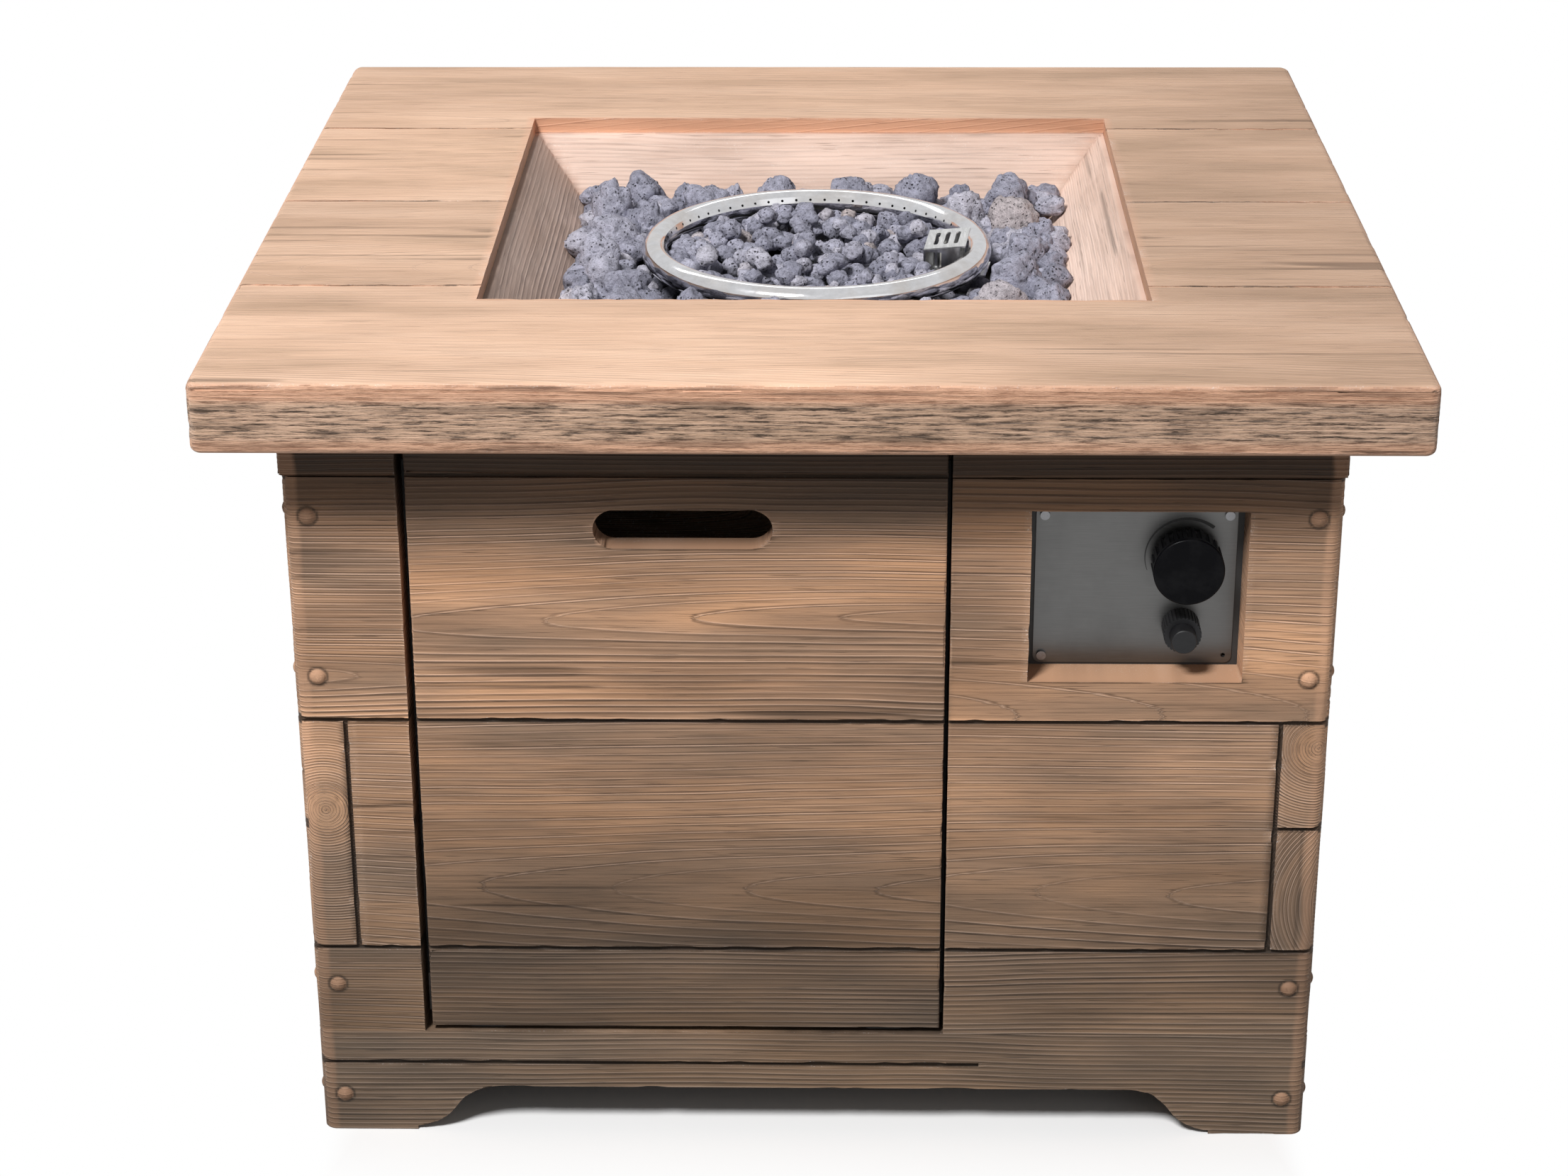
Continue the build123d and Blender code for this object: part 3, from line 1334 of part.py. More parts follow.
# Pilot base plate under the ring, carrying the shield, the electrode and the thermocouple
with BuildPart() as pilot_plate:
    with BuildSketch(Plane.XY.offset(pilot_floor).rotated((0, 0, pilot_angle_degrees))):
        pilot_plate_end = ring_radius + pilot_base_reach
        with Locations(((pilot_inner + pilot_plate_end) / 2, 0)):
            Rectangle(pilot_plate_end - pilot_inner, pilot_width)
        with Locations((probe_place, probe_spread)):
            Circle(electrode_radius + screw_clearance, mode=Mode.SUBTRACT)
        with Locations((probe_place, -probe_spread)):
            Circle(thermocouple_radius + screw_clearance, mode=Mode.SUBTRACT)
    extrude(amount=-sheet)
pilot_plate.part.label = "pilot_plate"
export_step(pilot_plate.part, "parts/pilot_plate.step")

# Pilot shield: a folded hood, open at the front, with a slotted roof that tilts to the front and the middle
with BuildPart() as pilot_shield:
    pilot_base = Plane.XY.offset(pilot_floor).rotated((0, 0, pilot_angle_degrees))
    roof_length = pilot_outer - pilot_inner
    roof_middle = (pilot_inner + pilot_outer) / 2
    outward = Vector(math.cos(pilot_turn), math.sin(pilot_turn), 0)
    backward = Vector(-math.sin(pilot_turn), math.cos(pilot_turn), 0)
    upright = Vector(0, 0, 1)
    outward_slope = pilot_roof_rise_out / roof_length
    backward_slope = pilot_roof_rise_back / pilot_width
    roof_normal = upright - outward * outward_slope - backward * backward_slope
    roof_place = outward * roof_middle + upright * (pilot_floor + pilot_height)
    roof_face = Plane(origin=roof_place, x_dir=outward, z_dir=roof_normal)
    with BuildSketch(pilot_base):
        with Locations(((pilot_inner + pilot_wall_outer) / 2, 0)):
            Rectangle(pilot_wall_outer - pilot_inner, pilot_width)
        with Locations(((pilot_inner + sheet + pilot_wall_outer + overrun) / 2, 0)):
            inside = pilot_wall_outer + overrun - pilot_inner - sheet
            Rectangle(inside, pilot_width - 2 * sheet, mode=Mode.SUBTRACT)
    extrude(amount=2 * pilot_height)
    with BuildSketch(roof_face.offset(-sheet / 2)) as above_roof:
        Rectangle(2 * roof_length, 2 * pilot_width)
    extrude(above_roof.sketch, amount=2 * pilot_height, mode=Mode.SUBTRACT)
    with BuildSketch(pilot_base.offset(sheet)) as front_opening:
        with Locations((pilot_inner + pilot_post, -pilot_width / 2)):
            Rectangle(pilot_opening_width, 2 * sheet + overrun, align=(Align.MIN, Align.CENTER))
    opening_height = pilot_height - pilot_roof_rise_back - pilot_opening_drop
    extrude(front_opening.sketch, amount=opening_height, mode=Mode.SUBTRACT)
    with BuildSketch(roof_face) as roof:
        Rectangle(roof_length, pilot_width)
        with GridLocations(pilot_slot_pitch, 0, pilot_slot_count, 1):
            SlotOverall(pilot_slot_length, pilot_slot_width, rotation=90, mode=Mode.SUBTRACT)
    extrude(roof.sketch, amount=-sheet)
pilot_shield.part.label = "pilot_shield"
export_step(pilot_shield.part, "parts/pilot_shield.step")


def probe(place, radius, rise, drop):
    """A rod standing through the pilot plate, with a collar seated on it."""
    with Locations((place[0], place[1], pilot_floor)):
        Cylinder(radius, rise, align=(Align.CENTER, Align.CENTER, Align.MIN))
        Cylinder(radius, drop, align=(Align.CENTER, Align.CENTER, Align.MAX))
        Cylinder(probe_collar_radius, probe_collar_height, align=(Align.CENTER, Align.CENTER, Align.MIN))


with BuildPart() as spark_electrode:
    probe(electrode_place, electrode_radius, electrode_rise, electrode_drop)
    with Locations((electrode_place[0], electrode_place[1], pilot_floor + electrode_rise)):
        Cylinder(electrode_tip_radius, electrode_tip_length, align=(Align.CENTER, Align.CENTER, Align.MIN))
spark_electrode.part.label = "spark_electrode"
export_step(spark_electrode.part, "parts/spark_electrode.step")

with BuildPart() as thermocouple:
    probe(thermocouple_place, thermocouple_radius, thermocouple_rise, thermocouple_drop)
thermocouple.part.label = "thermocouple"
export_step(thermocouple.part, "parts/thermocouple.step")

# Lava rock: a settled bed in the pan, with faceted rocks standing on it inside and outside the ring
with BuildPart() as lava_rock_bed:
    bed_half = pan_half - rock_clearance
    bed_rise_half = bed_half + (rock_bed_top - slope_foot_height) * slope_run / surround_drop
    with BuildSketch(Plane.XY.offset(pan_floor)):
        RectangleRounded(2 * bed_half, 2 * bed_half, pan_corner_round)
    extrude(amount=slope_foot_height - pan_floor)
    with BuildSketch(Plane.XY.offset(slope_foot_height)) as bed_middle:
        Rectangle(2 * bed_half, 2 * bed_half)
    with BuildSketch(Plane.XY.offset(rock_bed_top)) as bed_top:
        Rectangle(2 * bed_rise_half, 2 * bed_rise_half)
    loft(sections=[bed_middle.sketch, bed_top.sketch], ruled=True)
    with BuildSketch(Plane.XY.offset(pan_floor)) as bed_holes:
        with Locations((inlet_x, inlet_y)):
            Circle(inlet_shoulder_radius + rock_clearance)
        with Locations((probe_x, probe_y)):
            Circle(probe_hole_radius)
        for angle in leg_angles_degrees:
            turn = math.radians(angle)
            with Locations((ring_radius * math.cos(turn), ring_radius * math.sin(turn))):
                Circle(leg_radius + rock_clearance)
    extrude(bed_holes.sketch, amount=rock_bed_top - pan_floor, mode=Mode.SUBTRACT)
lava_rock_bed.part.label = "lava_rock_bed"
export_step(lava_rock_bed.part, "parts/lava_rock_bed.step")

rock_dice = random.Random(rock_seed)


def scatter(sizes, room):
    """Places circles, the largest first, where room allows; gives (x, y, radius, height) for each."""
    placed = []
    for radius, height, count in sizes:
        for _ in range(count):
            for _ in range(rock_tries):
                x = rock_dice.uniform(-bed_rise_half, bed_rise_half)
                y = rock_dice.uniform(-bed_rise_half, bed_rise_half)
                apart = [math.hypot(x - px, y - py) - pr for px, py, pr, _ in placed]
                if room(x, y) > radius and all(gap > radius + rock_gap for gap in apart):
                    placed.append((x, y, radius, height))
                    break
    return placed


def rock(x, y, radius, height):
    """A rough convex lump with a flat underside, standing on the bed."""
    points = []
    for level, spread, count in zip(rock_level_shares, rock_spread_shares, rock_level_points):
        turn = rock_dice.uniform(0, math.pi)
        for step in range(count):
            angle = turn + 2 * math.pi * step / count
            reach = radius * spread * rock_dice.uniform(rock_rough_share, 1)
            rise = height * level * rock_dice.uniform(rock_top_rough_share, 1)
            points.append((x + reach * math.cos(angle), y + reach * math.sin(angle), rock_bed_top + rise))
    ConvexPolyhedron(points)


def inner_room(x, y):
    """Free radius inside the ring, clear of the pilot's plate and hood."""
    to_pilot = math.hypot(x - probe_x, y - probe_y) - pilot_clear_radius
    return min(ring_radius - ring_tube_radius - rock_base_clearance - math.hypot(x, y), to_pilot)


def outer_room(x, y):
    """Free radius between the ring and the surround's slopes."""
    to_slope = bed_rise_half - rock_base_clearance - max(abs(x), abs(y))
    to_ring = math.hypot(x, y) - ring_radius - ring_tube_radius - rock_base_clearance
    to_pilot = math.hypot(x - pilot_end_x, y - pilot_end_y) - pilot_width / 2
    return min(to_slope, to_ring, to_pilot)


with BuildPart() as lava_rocks_inner:
    for place in scatter(list(zip(inner_rock_radii, inner_rock_heights, inner_rock_counts)), inner_room):
        rock(*place)
lava_rocks_inner.part.label = "lava_rocks_inner"
export_step(lava_rocks_inner.part, "parts/lava_rocks_inner.step")

with BuildPart() as lava_rocks_outer:
    for place in scatter(list(zip(outer_rock_radii, outer_rock_heights, outer_rock_counts)), outer_room):
        rock(*place)
lava_rocks_outer.part.label = "lava_rocks_outer"
export_step(lava_rocks_outer.part, "parts/lava_rocks_outer.step")
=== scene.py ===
import math
import random
from itertools import product

import bmesh
import bpy
import numpy as np
from mathutils import Matrix, Vector


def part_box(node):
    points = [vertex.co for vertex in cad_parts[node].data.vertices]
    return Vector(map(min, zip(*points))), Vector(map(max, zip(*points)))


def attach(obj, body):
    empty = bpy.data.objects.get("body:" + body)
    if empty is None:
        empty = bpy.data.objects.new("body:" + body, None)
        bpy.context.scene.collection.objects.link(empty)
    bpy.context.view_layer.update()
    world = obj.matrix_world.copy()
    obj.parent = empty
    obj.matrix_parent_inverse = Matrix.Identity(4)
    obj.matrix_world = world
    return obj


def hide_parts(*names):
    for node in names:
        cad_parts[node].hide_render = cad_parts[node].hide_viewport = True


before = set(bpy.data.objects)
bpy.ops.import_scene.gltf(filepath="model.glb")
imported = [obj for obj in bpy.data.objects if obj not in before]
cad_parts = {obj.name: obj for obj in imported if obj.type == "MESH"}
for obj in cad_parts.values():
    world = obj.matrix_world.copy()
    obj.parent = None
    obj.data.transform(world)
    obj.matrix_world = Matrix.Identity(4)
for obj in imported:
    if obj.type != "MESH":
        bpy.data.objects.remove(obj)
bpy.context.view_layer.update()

# Photograph's frame and camera, in pixels, metres and degrees, and the sensor in millimetres
image_width = 2212
focal_pixels = 4639.5
sensor_width = 36.0
camera_place = (0.0198, -2.401, 1.3217)
camera_pitch = 23.502
camera_yaw = -1.087
camera_roll = -0.239
near_clip = 0.05

# Lamps: direction, distance and size in metres, and watts
lamp_aim = (0, 0, 0.4)
lamps = {
    "key_lamp": ((-0.54, -1.0, 1.35), 9.0, (2.0, 2.0), 890.0),
    "fill_lamp": ((0.9, -1.5, 0.5), 3.6, (2.4, 2.4), 5.0),
    "strip_lamp": ((-0.25, 1.0, 1.1), 3.2, (3.0, 0.5), 9.0),
}

# Levels of the background, and the floor
world_level = 0.15
mirror_level = 0.8
floor_half = 9.0
floor_bounce = 0.34
floor_white = 0.9
shadow_reach = 0.1
shadow_side = 0.03

# Noise patterns: one scale or one for each axis, detail, roughness
# Fine grain has fibres, torn fibres and pores, broad grain has streaks and clouds,
# and rock has clusters of pits, clouds and crumbs
fine_grain = (
    ((11, 620, 1), 4.0, 0.62),
    ((36, 430, 1), 5.0, 0.75),
    ((24, 1000, 1), 1.0, 0.5),
)
broad_grain = (
    ((2.6, 30, 1), 4.0, 0.6),
    ((3.5, 17, 1), 4.0, 0.6),
)
grit_pattern = (700, 2.0, 0.6)
stain_pattern = (26, 5.0, 0.6)
dust_pattern = (60, 5.0, 0.65)
rock_patterns = (
    (85, 2.0, 0.5),
    (150, 6.0, 0.72),
    (900, 3.0, 0.7),
)
pit_scale = 330.0
pit_bend_scale = 420.0
pit_bend = 0.0022
rock_relief = 0.0022

# Shares in the cast material, and its relief in thousandths of a metre
line_wobble = 0.18
weakest_line = 0.3
rim_share = 0.45
dull_shine = 0.3
torn_lift = 2.0
pore_lift = -0.25
grit_lift = 0.05
relief_unit = 0.001

# Grain of the cast timber, in metres and degrees
row_step = 0.0013
top_row_step = 0.0022
column_step = 0.0075
edge_step = 0.0022
corner_step = 0.0016
corner_start = 0.0005
corner_end = 0.0008
stud_step = 0.0015
stud_reach = 0.0095
rows_in_slab = 24
weld_distance = 2e-6
cut_tolerance = 1e-7
flat_angle = 0.6
smooth_angle = 38.0
ridge_width = 0.0009
# Offset of the painted shadow line beside each ring line
line_shadow_offset = 0.0012
ridge_height = 0.00025
swell_depth = 0.0004
crack_depth = 0.0009
edge_depth = 0.0007
worn_radius = 0.01
plank_shift = (1.37, 0.77)

# Shares by which features change the cast timber's tone and rust, with painted shade round the studs, on
# the band above the top seam and under the slab
board_spread = 0.07
crack_tone = 0.45
rough_tone = 0.15
stud_shadow_tone = 0.7
seam_tone = 0.92
band_shade = 1.13
stud_rust = 0.85
corner_rust = 0.4
tone_limits = (0.12, 1.5)
shade_heights = (0.42, 0.53)
patina_height = 0.4

# Places in the table, in metres, as in the solids
base_half = 0.357
doorway_left = -0.279
doorway_right = 0.094
door_sill = 0.0835
foot_seam = 0.057
seam_heights = (0.152, 0.332, 0.514)
block_edge = 0.323
block_split = 0.25
slab_top = 0.597
slab_thick = 0.05
opening_half = 0.2337
plank_width = 0.20325
stud_place = 0.34
stud_heights = (0.03, 0.122, 0.365, 0.484)
stud_radius = 0.0062
slope_foot_half = 0.18
slope_foot_height = 0.525
slope_rate = 0.825
ring_radius = 0.1235
ring_tube = 0.0095
hood_place = (0.0985, -0.0156)
hood_clear = 0.03

# Plank numbers: the first of each panel, and what is added for the parts of a panel
edge_planks = 10
lip_planks = 20
well_planks = 70
front_planks = 100
back_planks = 300
left_planks = 500
right_planks = 700
left_stile = 10
right_stile = 20
corner_block = 40
upper_block = 5
board_end = 60

# A long split in one board of the front: a place on it, its slope and its widths
split_plank = front_planks + left_stile + 1
split_place = (-0.3, 0.265)
split_slope = 0.05
split_widths = (0.0007, 0.0016)

# Boards with a known figure: ring centre across, tip along, tilt, depth at the tip, ring spacing
cathedral = {
    front_planks + 1: (0.205, -0.161, -0.059, 0.031, 0.0055),
    front_planks + 21: (0.201, 0.239, -0.059, 0.025, 0.0055),
    front_planks + 2: (0.405, 0.3, 0.045, 0.006, 0.0046),
    front_planks + 22: (0.335, -0.3, 0.05, 0.03, 0.005),
    front_planks + 11: (0.11, -0.6, 0.1, 0.02, 0.0046),
}
# End-grain blocks: pith along and across, ring spacing; arc length taken at one reach
end_grain_reach = 0.06
end_grain = {
    front_planks + 40: (0.262, -0.341, 0.0021),
    front_planks + 41: (0.19, 0.402, 0.0027),
    front_planks + 46: (0.313, 0.35, 0.0021),
    back_planks + 40: (0.205, -0.33, 0.0023),
    back_planks + 41: (0.215, 0.395, 0.0027),
    back_planks + 46: (0.29, 0.348, 0.0022),
}

# Lava rocks, in metres: widths, heights of their tops, gaps, and seeds, and the painted shade on the lower
# rocks
rock_sink = 0.012
rock_shade_heights = (0.528, 0.554)
rock_shade = 0.25
filler_step = 0.0195
filler_count = 20
filler_shake = 0.006
filler_shift = 0.4
outer_widths = (0.022, 0.034)
inner_widths = (0.016, 0.024)
edge_widths = (0.017, 0.025)
under_ring_tops = (0.534, 0.545)
inner_tops = (0.55, 0.564)
outer_tops = (0.543, 0.56)
hood_tops = (0.536, 0.546)
edge_tops = (0.556, 0.566)
edge_count = 30
ring_gap = 0.004
rock_gap = 0.001
edge_gap = 0.0005
group_seed = 1000
filler_seed = 2000
edge_seed = 5000

# Dial mark on the control plate, in metres and degrees
dial_place = (0.255, -0.328, 0.444)
dial_radius = 0.0275
dial_start = 200
dial_sweep = 150
mark_width = 0.0004
mark_growth = 0.002
mark_lift = 0.00012
mark_steps = 40

# Shared number helpers
hash_mask = 0xFFFFFFFF


def hashed(x, y, z, seed):
    """A repeatable number from 0 to 1 for each lattice point."""
    mixed = (x * 374761393 + y * 668265263 + z * 2147483647 + seed * 144269504) & hash_mask
    mixed = ((mixed ^ (mixed >> 13)) * 1274126177) & hash_mask
    mixed = ((mixed ^ (mixed >> 16)) * 2246822519) & hash_mask
    return (mixed ^ (mixed >> 15)) / hash_mask


def noise(x, y, z, seed):
    """Smooth value noise from -1 to 1 on arrays."""
    places = np.broadcast_arrays(*(np.asarray(c, float) for c in (x, y, z)))
    cells = [np.floor(c).astype(np.int64) for c in places]
    parts = [c - cell for c, cell in zip(places, cells)]
    parts = [p * p * p * (p * (p * 6 - 15) + 10) for p in parts]
    total = np.zeros(places[0].shape)
    for corner in product((0, 1), repeat=3):
        weight = 1.0
        for part, step in zip(parts, corner):
            weight = weight * (part if step else 1 - part)
        total += weight * hashed(*(cell + step for cell, step in zip(cells, corner)), seed)
    return total * 2 - 1


def noise_at(points, scale, seed, shift=0.0):
    """Noise with one scale on all three axes."""
    x, y, z = (points * scale).T
    return noise(x + shift, y, z, seed)


def ease(low, high, value):
    """0 up to the low end, 1 from the high end, and soft between them."""
    t = np.clip((value - low) / (high - low), 0, 1)
    return t * t * (3 - 2 * t)


# Mesh and object helpers
def linked(name, data):
    made = bpy.data.objects.new(name, data)
    bpy.context.scene.collection.objects.link(made)
    return made


def read_all(items, key, width, kind=np.float32):
    """A value or vector of every item."""
    values = np.zeros(len(items) * width, kind)
    items.foreach_get(key, values)
    return values.reshape(-1, width)


def store(data, domain, **layers):
    """Keeps layers of numbers on a mesh, by name."""
    for name, values in layers.items():
        made = data.attributes.new(name, "FLOAT", domain)
        made.data.foreach_set("value", values.astype(np.float32))


# Shader helpers
def feed(tree, node, inputs):
    """Links or fills a shader node's inputs."""
    for key, value in inputs.items():
        if isinstance(value, bpy.types.NodeSocket):
            tree.links.new(value, node.inputs[key])
        else:
            node.inputs[key].default_value = value


def put(tree, kind, inputs=None, **settings):
    """Adds a shader node, sets it, and feeds it."""
    made = tree.nodes.new("ShaderNode" + kind)
    for key, value in settings.items():
        setattr(made, key, value)
    feed(tree, made, inputs or {})
    return made


def blend(tree, factor, first, second, mode="MIX"):
    inputs = {0: factor, 6: first, 7: second}
    return put(tree, "Mix", inputs, data_type="RGBA", blend_type=mode).outputs[2]


def maths(tree, operation, *values):
    return put(tree, "Math", dict(enumerate(values)), operation=operation).outputs[0]


def times(tree, first, second):
    return maths(tree, "MULTIPLY", first, second)


def added(tree, value, share, base):
    return maths(tree, "MULTIPLY_ADD", value, share, base)


def shaded(tree, colour, by, share=1.0):
    return blend(tree, share, colour, by, "MULTIPLY")


def eased(tree, value, low, high, first=0.0, last=1.0):
    """Goes softly from first to last while the value goes from low to high."""
    inputs = {0: value, 1: low, 2: high, 3: first, 4: last}
    return put(tree, "MapRange", inputs, interpolation_type="SMOOTHSTEP").outputs[0]


def line_mask(tree, distance):
    """1 on a line and 0 from ridge_width away."""
    return eased(tree, maths(tree, "ABSOLUTE", distance), 0.0, ridge_width, 1.0, 0.0)


def ramp(tree, factor, stops):
    """A colour ramp; each stop is (place, grey or rgb)."""
    made = put(tree, "ValToRGB", {0: factor})
    elements = made.color_ramp.elements
    while len(elements) < len(stops):
        elements.new(0.5)
    for element, (place, colour) in zip(elements, stops):
        element.position = place
        element.color = (*colour, 1) if isinstance(colour, tuple) else (colour, colour, colour, 1)
    return made.outputs[0]


def streaks(tree, vector, scale, detail, roughness):
    """Noise with one scale, or one for each axis."""
    scale = scale if isinstance(scale, tuple) else (scale, scale, scale)
    mapped = put(tree, "Mapping", {"Vector": vector, "Scale": scale}).outputs[0]
    inputs = {"Vector": mapped, "Scale": 1.0, "Detail": detail, "Roughness": roughness}
    return put(tree, "TexNoise", inputs).outputs[0]


def relief(tree, height, strength, distance):
    inputs = {"Height": height, "Strength": strength, "Distance": distance}
    return put(tree, "Bump", inputs).outputs[0]


def attribute(tree, name):
    return put(tree, "Attribute", attribute_name=name).outputs["Fac"]


def object_place(tree):
    return put(tree, "TexCoord").outputs["Object"]


def new_material(name):
    made = bpy.data.materials.new(name)
    made.use_nodes = True
    tree = made.node_tree
    return made, tree, tree.nodes["Principled BSDF"]


def rgba(colour):
    return (*colour, 1.0)


def scaled(colour, share):
    return tuple(c * share for c in colour)


def cast_material(name, colours, shares):
    """Cast composite with brushed timber grain: raised ring lines with painted highlight and painted
    shadow lines, fine fibres, dark pores, worn rims.
    """
    made, tree, surface = new_material(name)
    grain = put(tree, "UVMap", uv_map="Grain").outputs[0]
    rough_share = attribute(tree, "rough")
    wear = attribute(tree, "wear")
    fibre, torn, pores = (streaks(tree, grain, *pattern) for pattern in fine_grain)
    broad, cloud = (streaks(tree, grain, *pattern) for pattern in broad_grain)
    grit = streaks(tree, object_place(tree), *grit_pattern)

    def over(below, share, label, mode="MIX"):
        return blend(tree, share, below, rgba(colours[label]), mode)

    # thin lines half-way between whole ring counts, equally wide everywhere, each with a painted shadow
    # line beside it
    wobble = added(tree, fibre, line_wobble, attribute(tree, "turn"))
    past = maths(tree, "SUBTRACT", maths(tree, "FRACT", wobble), 0.5)
    past = maths(tree, "DIVIDE", past, attribute(tree, "rate"))
    beside = maths(tree, "SUBTRACT", past, line_shadow_offset)
    ring_number = maths(tree, "FLOOR", wobble)
    ring_dice = put(tree, "TexWhiteNoise", {"W": ring_number}, noise_dimensions="1D").outputs[0]
    fading = ramp(tree, broad, ((0.34, 0.45), (0.54, 1.0)))
    strength = added(tree, ring_dice, 1 - weakest_line, weakest_line)
    strength = times(tree, strength, fading)
    line = times(tree, line_mask(tree, past), strength)
    line_shadow = times(tree, line_mask(tree, beside), strength)
    # colour: clouded body, fine fibres, ring lines lighter partly as wear and partly as painted highlight,
    # painted shadow lines beside them, dark pores
    body = ramp(tree, cloud, ((0.34, colours["shade"]), (0.5, colours["middle"]), (0.66, colours["warm"])))
    stain = ramp(tree, broad, ((0.36, 1.0), (0.6, 0.0)))
    colour = over(body, times(tree, stain, shares["stain"]), "stain", "MULTIPLY")
    fine = ramp(tree, fibre, ((0.34, 0.42), (0.48, 0.9), (0.62, 1.0)))
    colour = shaded(tree, colour, fine, shares["fibre"])
    ragged = ramp(tree, torn, ((0.41, 0.1), (0.49, 0.72), (0.58, 1.0)))
    ragged = shaded(tree, colour, ragged)
    colour = blend(tree, rough_share, colour, ragged)
    slits = ramp(tree, pores, ((0.25, 1.0), (0.31, 0.0)))
    colour = over(colour, times(tree, slits, shares["pore"]), "pore_and_shadow")
    # painted shadow line beside each ring line, in the pore colour
    colour = over(colour, times(tree, line_shadow, shares["line_shadow"]), "pore_and_shadow")
    # ring lines lighter: partly wear, partly painted highlight
    colour = over(colour, times(tree, line, shares["line"]), "ridge_wear_and_highlight")
    colour = over(colour, attribute(tree, "patina"), "patina", "MULTIPLY")
    colour = over(colour, attribute(tree, "rust"), "rust")
    colour = over(colour, times(tree, wear, rim_share), "rim")
    speck = ramp(tree, grit, ((0.6, 0.0), (0.68, 1.0)))
    colour = over(colour, times(tree, wear, speck), "chip")
    # tone carries the board tones and blotches, and painted shade near the floor, under the slab, round
    # the studs, on the well's left slope and on the top's right side
    level = attribute(tree, "tone")
    shade = put(tree, "CombineColor", {0: level, 1: level, 2: level}).outputs[0]
    colour = shaded(tree, colour, shade)
    # relief: lines stand out, fibres are brushed, pores are cut in
    lift = times(tree, line, shares["line_lift"])
    lift = added(tree, fibre, shares["fibre_lift"], lift)
    lift = added(tree, times(tree, torn, rough_share), torn_lift, lift)
    lift = added(tree, slits, pore_lift, lift)
    lift = added(tree, grit, grit_lift, lift)
    feed(tree, surface, {
        "Base Color": colour,
        "Roughness": ramp(tree, fibre, ((0.2, 0.62), (0.9, 0.88))),
        "Specular IOR Level": dull_shine,
        "Normal": relief(tree, lift, 1.0, relief_unit),
    })
    return made


def metal_material(name, colour, rough, streak_scale, tint=None, metallic=1.0, bump_depth=0.00008):
    """Worked metal: fine streaks and stains in colour, gloss and relief."""
    made, tree, surface = new_material(name)
    place = object_place(tree)
    streak = streaks(tree, place, streak_scale, 4.0, 0.65)
    stain = streaks(tree, place, *stain_pattern)
    shade = ramp(tree, streak, ((0.25, scaled(colour, 0.84)), (0.75, scaled(colour, 1.1))))
    spread = ramp(tree, stain, ((0.46, 0.0), (0.78, 0.55)))
    feed(tree, surface, {
        "Base Color": blend(tree, spread, shade, rgba(tint or scaled(colour, 0.7))),
        "Metallic": metallic,
        "Roughness": ramp(tree, streak, ((0.2, rough - 0.07), (0.8, rough + 0.09))),
        "Normal": relief(tree, streak, 0.5, bump_depth),
    })
    return made


def plain_material(name, colour, rough, grain_scale, shine=0.5, bump_depth=0.00012):
    """Moulded or sleeved material: a fine even grain with a little dust."""
    made, tree, surface = new_material(name)
    place = object_place(tree)
    grain = streaks(tree, place, grain_scale, 3.0, 0.5)
    dust = streaks(tree, place, *dust_pattern)
    dusty = tuple(c * 1.1 + 0.008 for c in colour)
    spread = ramp(tree, dust, ((0.45, 0.0), (0.8, 0.8)))
    feed(tree, surface, {
        "Base Color": blend(tree, spread, rgba(colour), rgba(dusty)),
        "Roughness": ramp(tree, dust, ((0.3, rough - 0.06), (0.75, rough + 0.14))),
        "Specular IOR Level": shine,
        "Normal": relief(tree, grain, 0.4, bump_depth),
    })
    return made


def lava_material(name):
    """Porous lava rock: blue-grey, with clustered pits and a few paler and browner lumps."""
    made, tree, surface = new_material(name)
    place = object_place(tree)
    inputs = {"Vector": place, "Scale": pit_bend_scale, "Detail": 2.0}
    bend = put(tree, "TexNoise", inputs).outputs["Color"]
    inputs = {0: bend, 1: (pit_bend, pit_bend, pit_bend), 2: place}
    bent = put(tree, "VectorMath", inputs, operation="MULTIPLY_ADD").outputs[0]
    cells = put(tree, "TexVoronoi", {"Vector": bent, "Scale": pit_scale}).outputs["Distance"]
    clusters, cloud, crumb = (streaks(tree, place, *pattern) for pattern in rock_patterns)
    pits = ramp(tree, cells, ((0.14, 1.0), (0.3, 0.0)))
    pits = times(tree, pits, ramp(tree, clusters, ((0.42, 0.1), (0.58, 1.0))))
    colour = ramp(tree, attribute(tree, "rock_tone"), (
        (0.0, (0.36, 0.36, 0.45)),
        (0.5, (0.52, 0.515, 0.63)),
        (0.93, (0.7, 0.68, 0.78)),
        (1.0, (0.64, 0.55, 0.54)),
    ))
    clouded = ramp(tree, cloud, ((0.3, 0.5), (0.62, 1.0)))
    colour = shaded(tree, colour, clouded)
    crumbs = ramp(tree, crumb, ((0.34, 0.45), (0.5, 1.0)))
    colour = shaded(tree, colour, crumbs, 0.8)
    colour = blend(tree, times(tree, pits, 0.9), colour, rgba((0.02, 0.02, 0.025)))
    # painted shade in the pits and on the lower rocks
    hollow = ramp(tree, attribute(tree, "cavity"), ((0.0, 0.3), (0.65, 1.0)))
    colour = shaded(tree, colour, hollow)
    depth = added(tree, pits, -0.9, cloud)
    depth = added(tree, crumb, 0.35, depth)
    feed(tree, surface, {
        "Base Color": colour,
        "Roughness": 0.9,
        "Specular IOR Level": dull_shine,
        "Normal": relief(tree, depth, 1.0, rock_relief),
    })
    return made


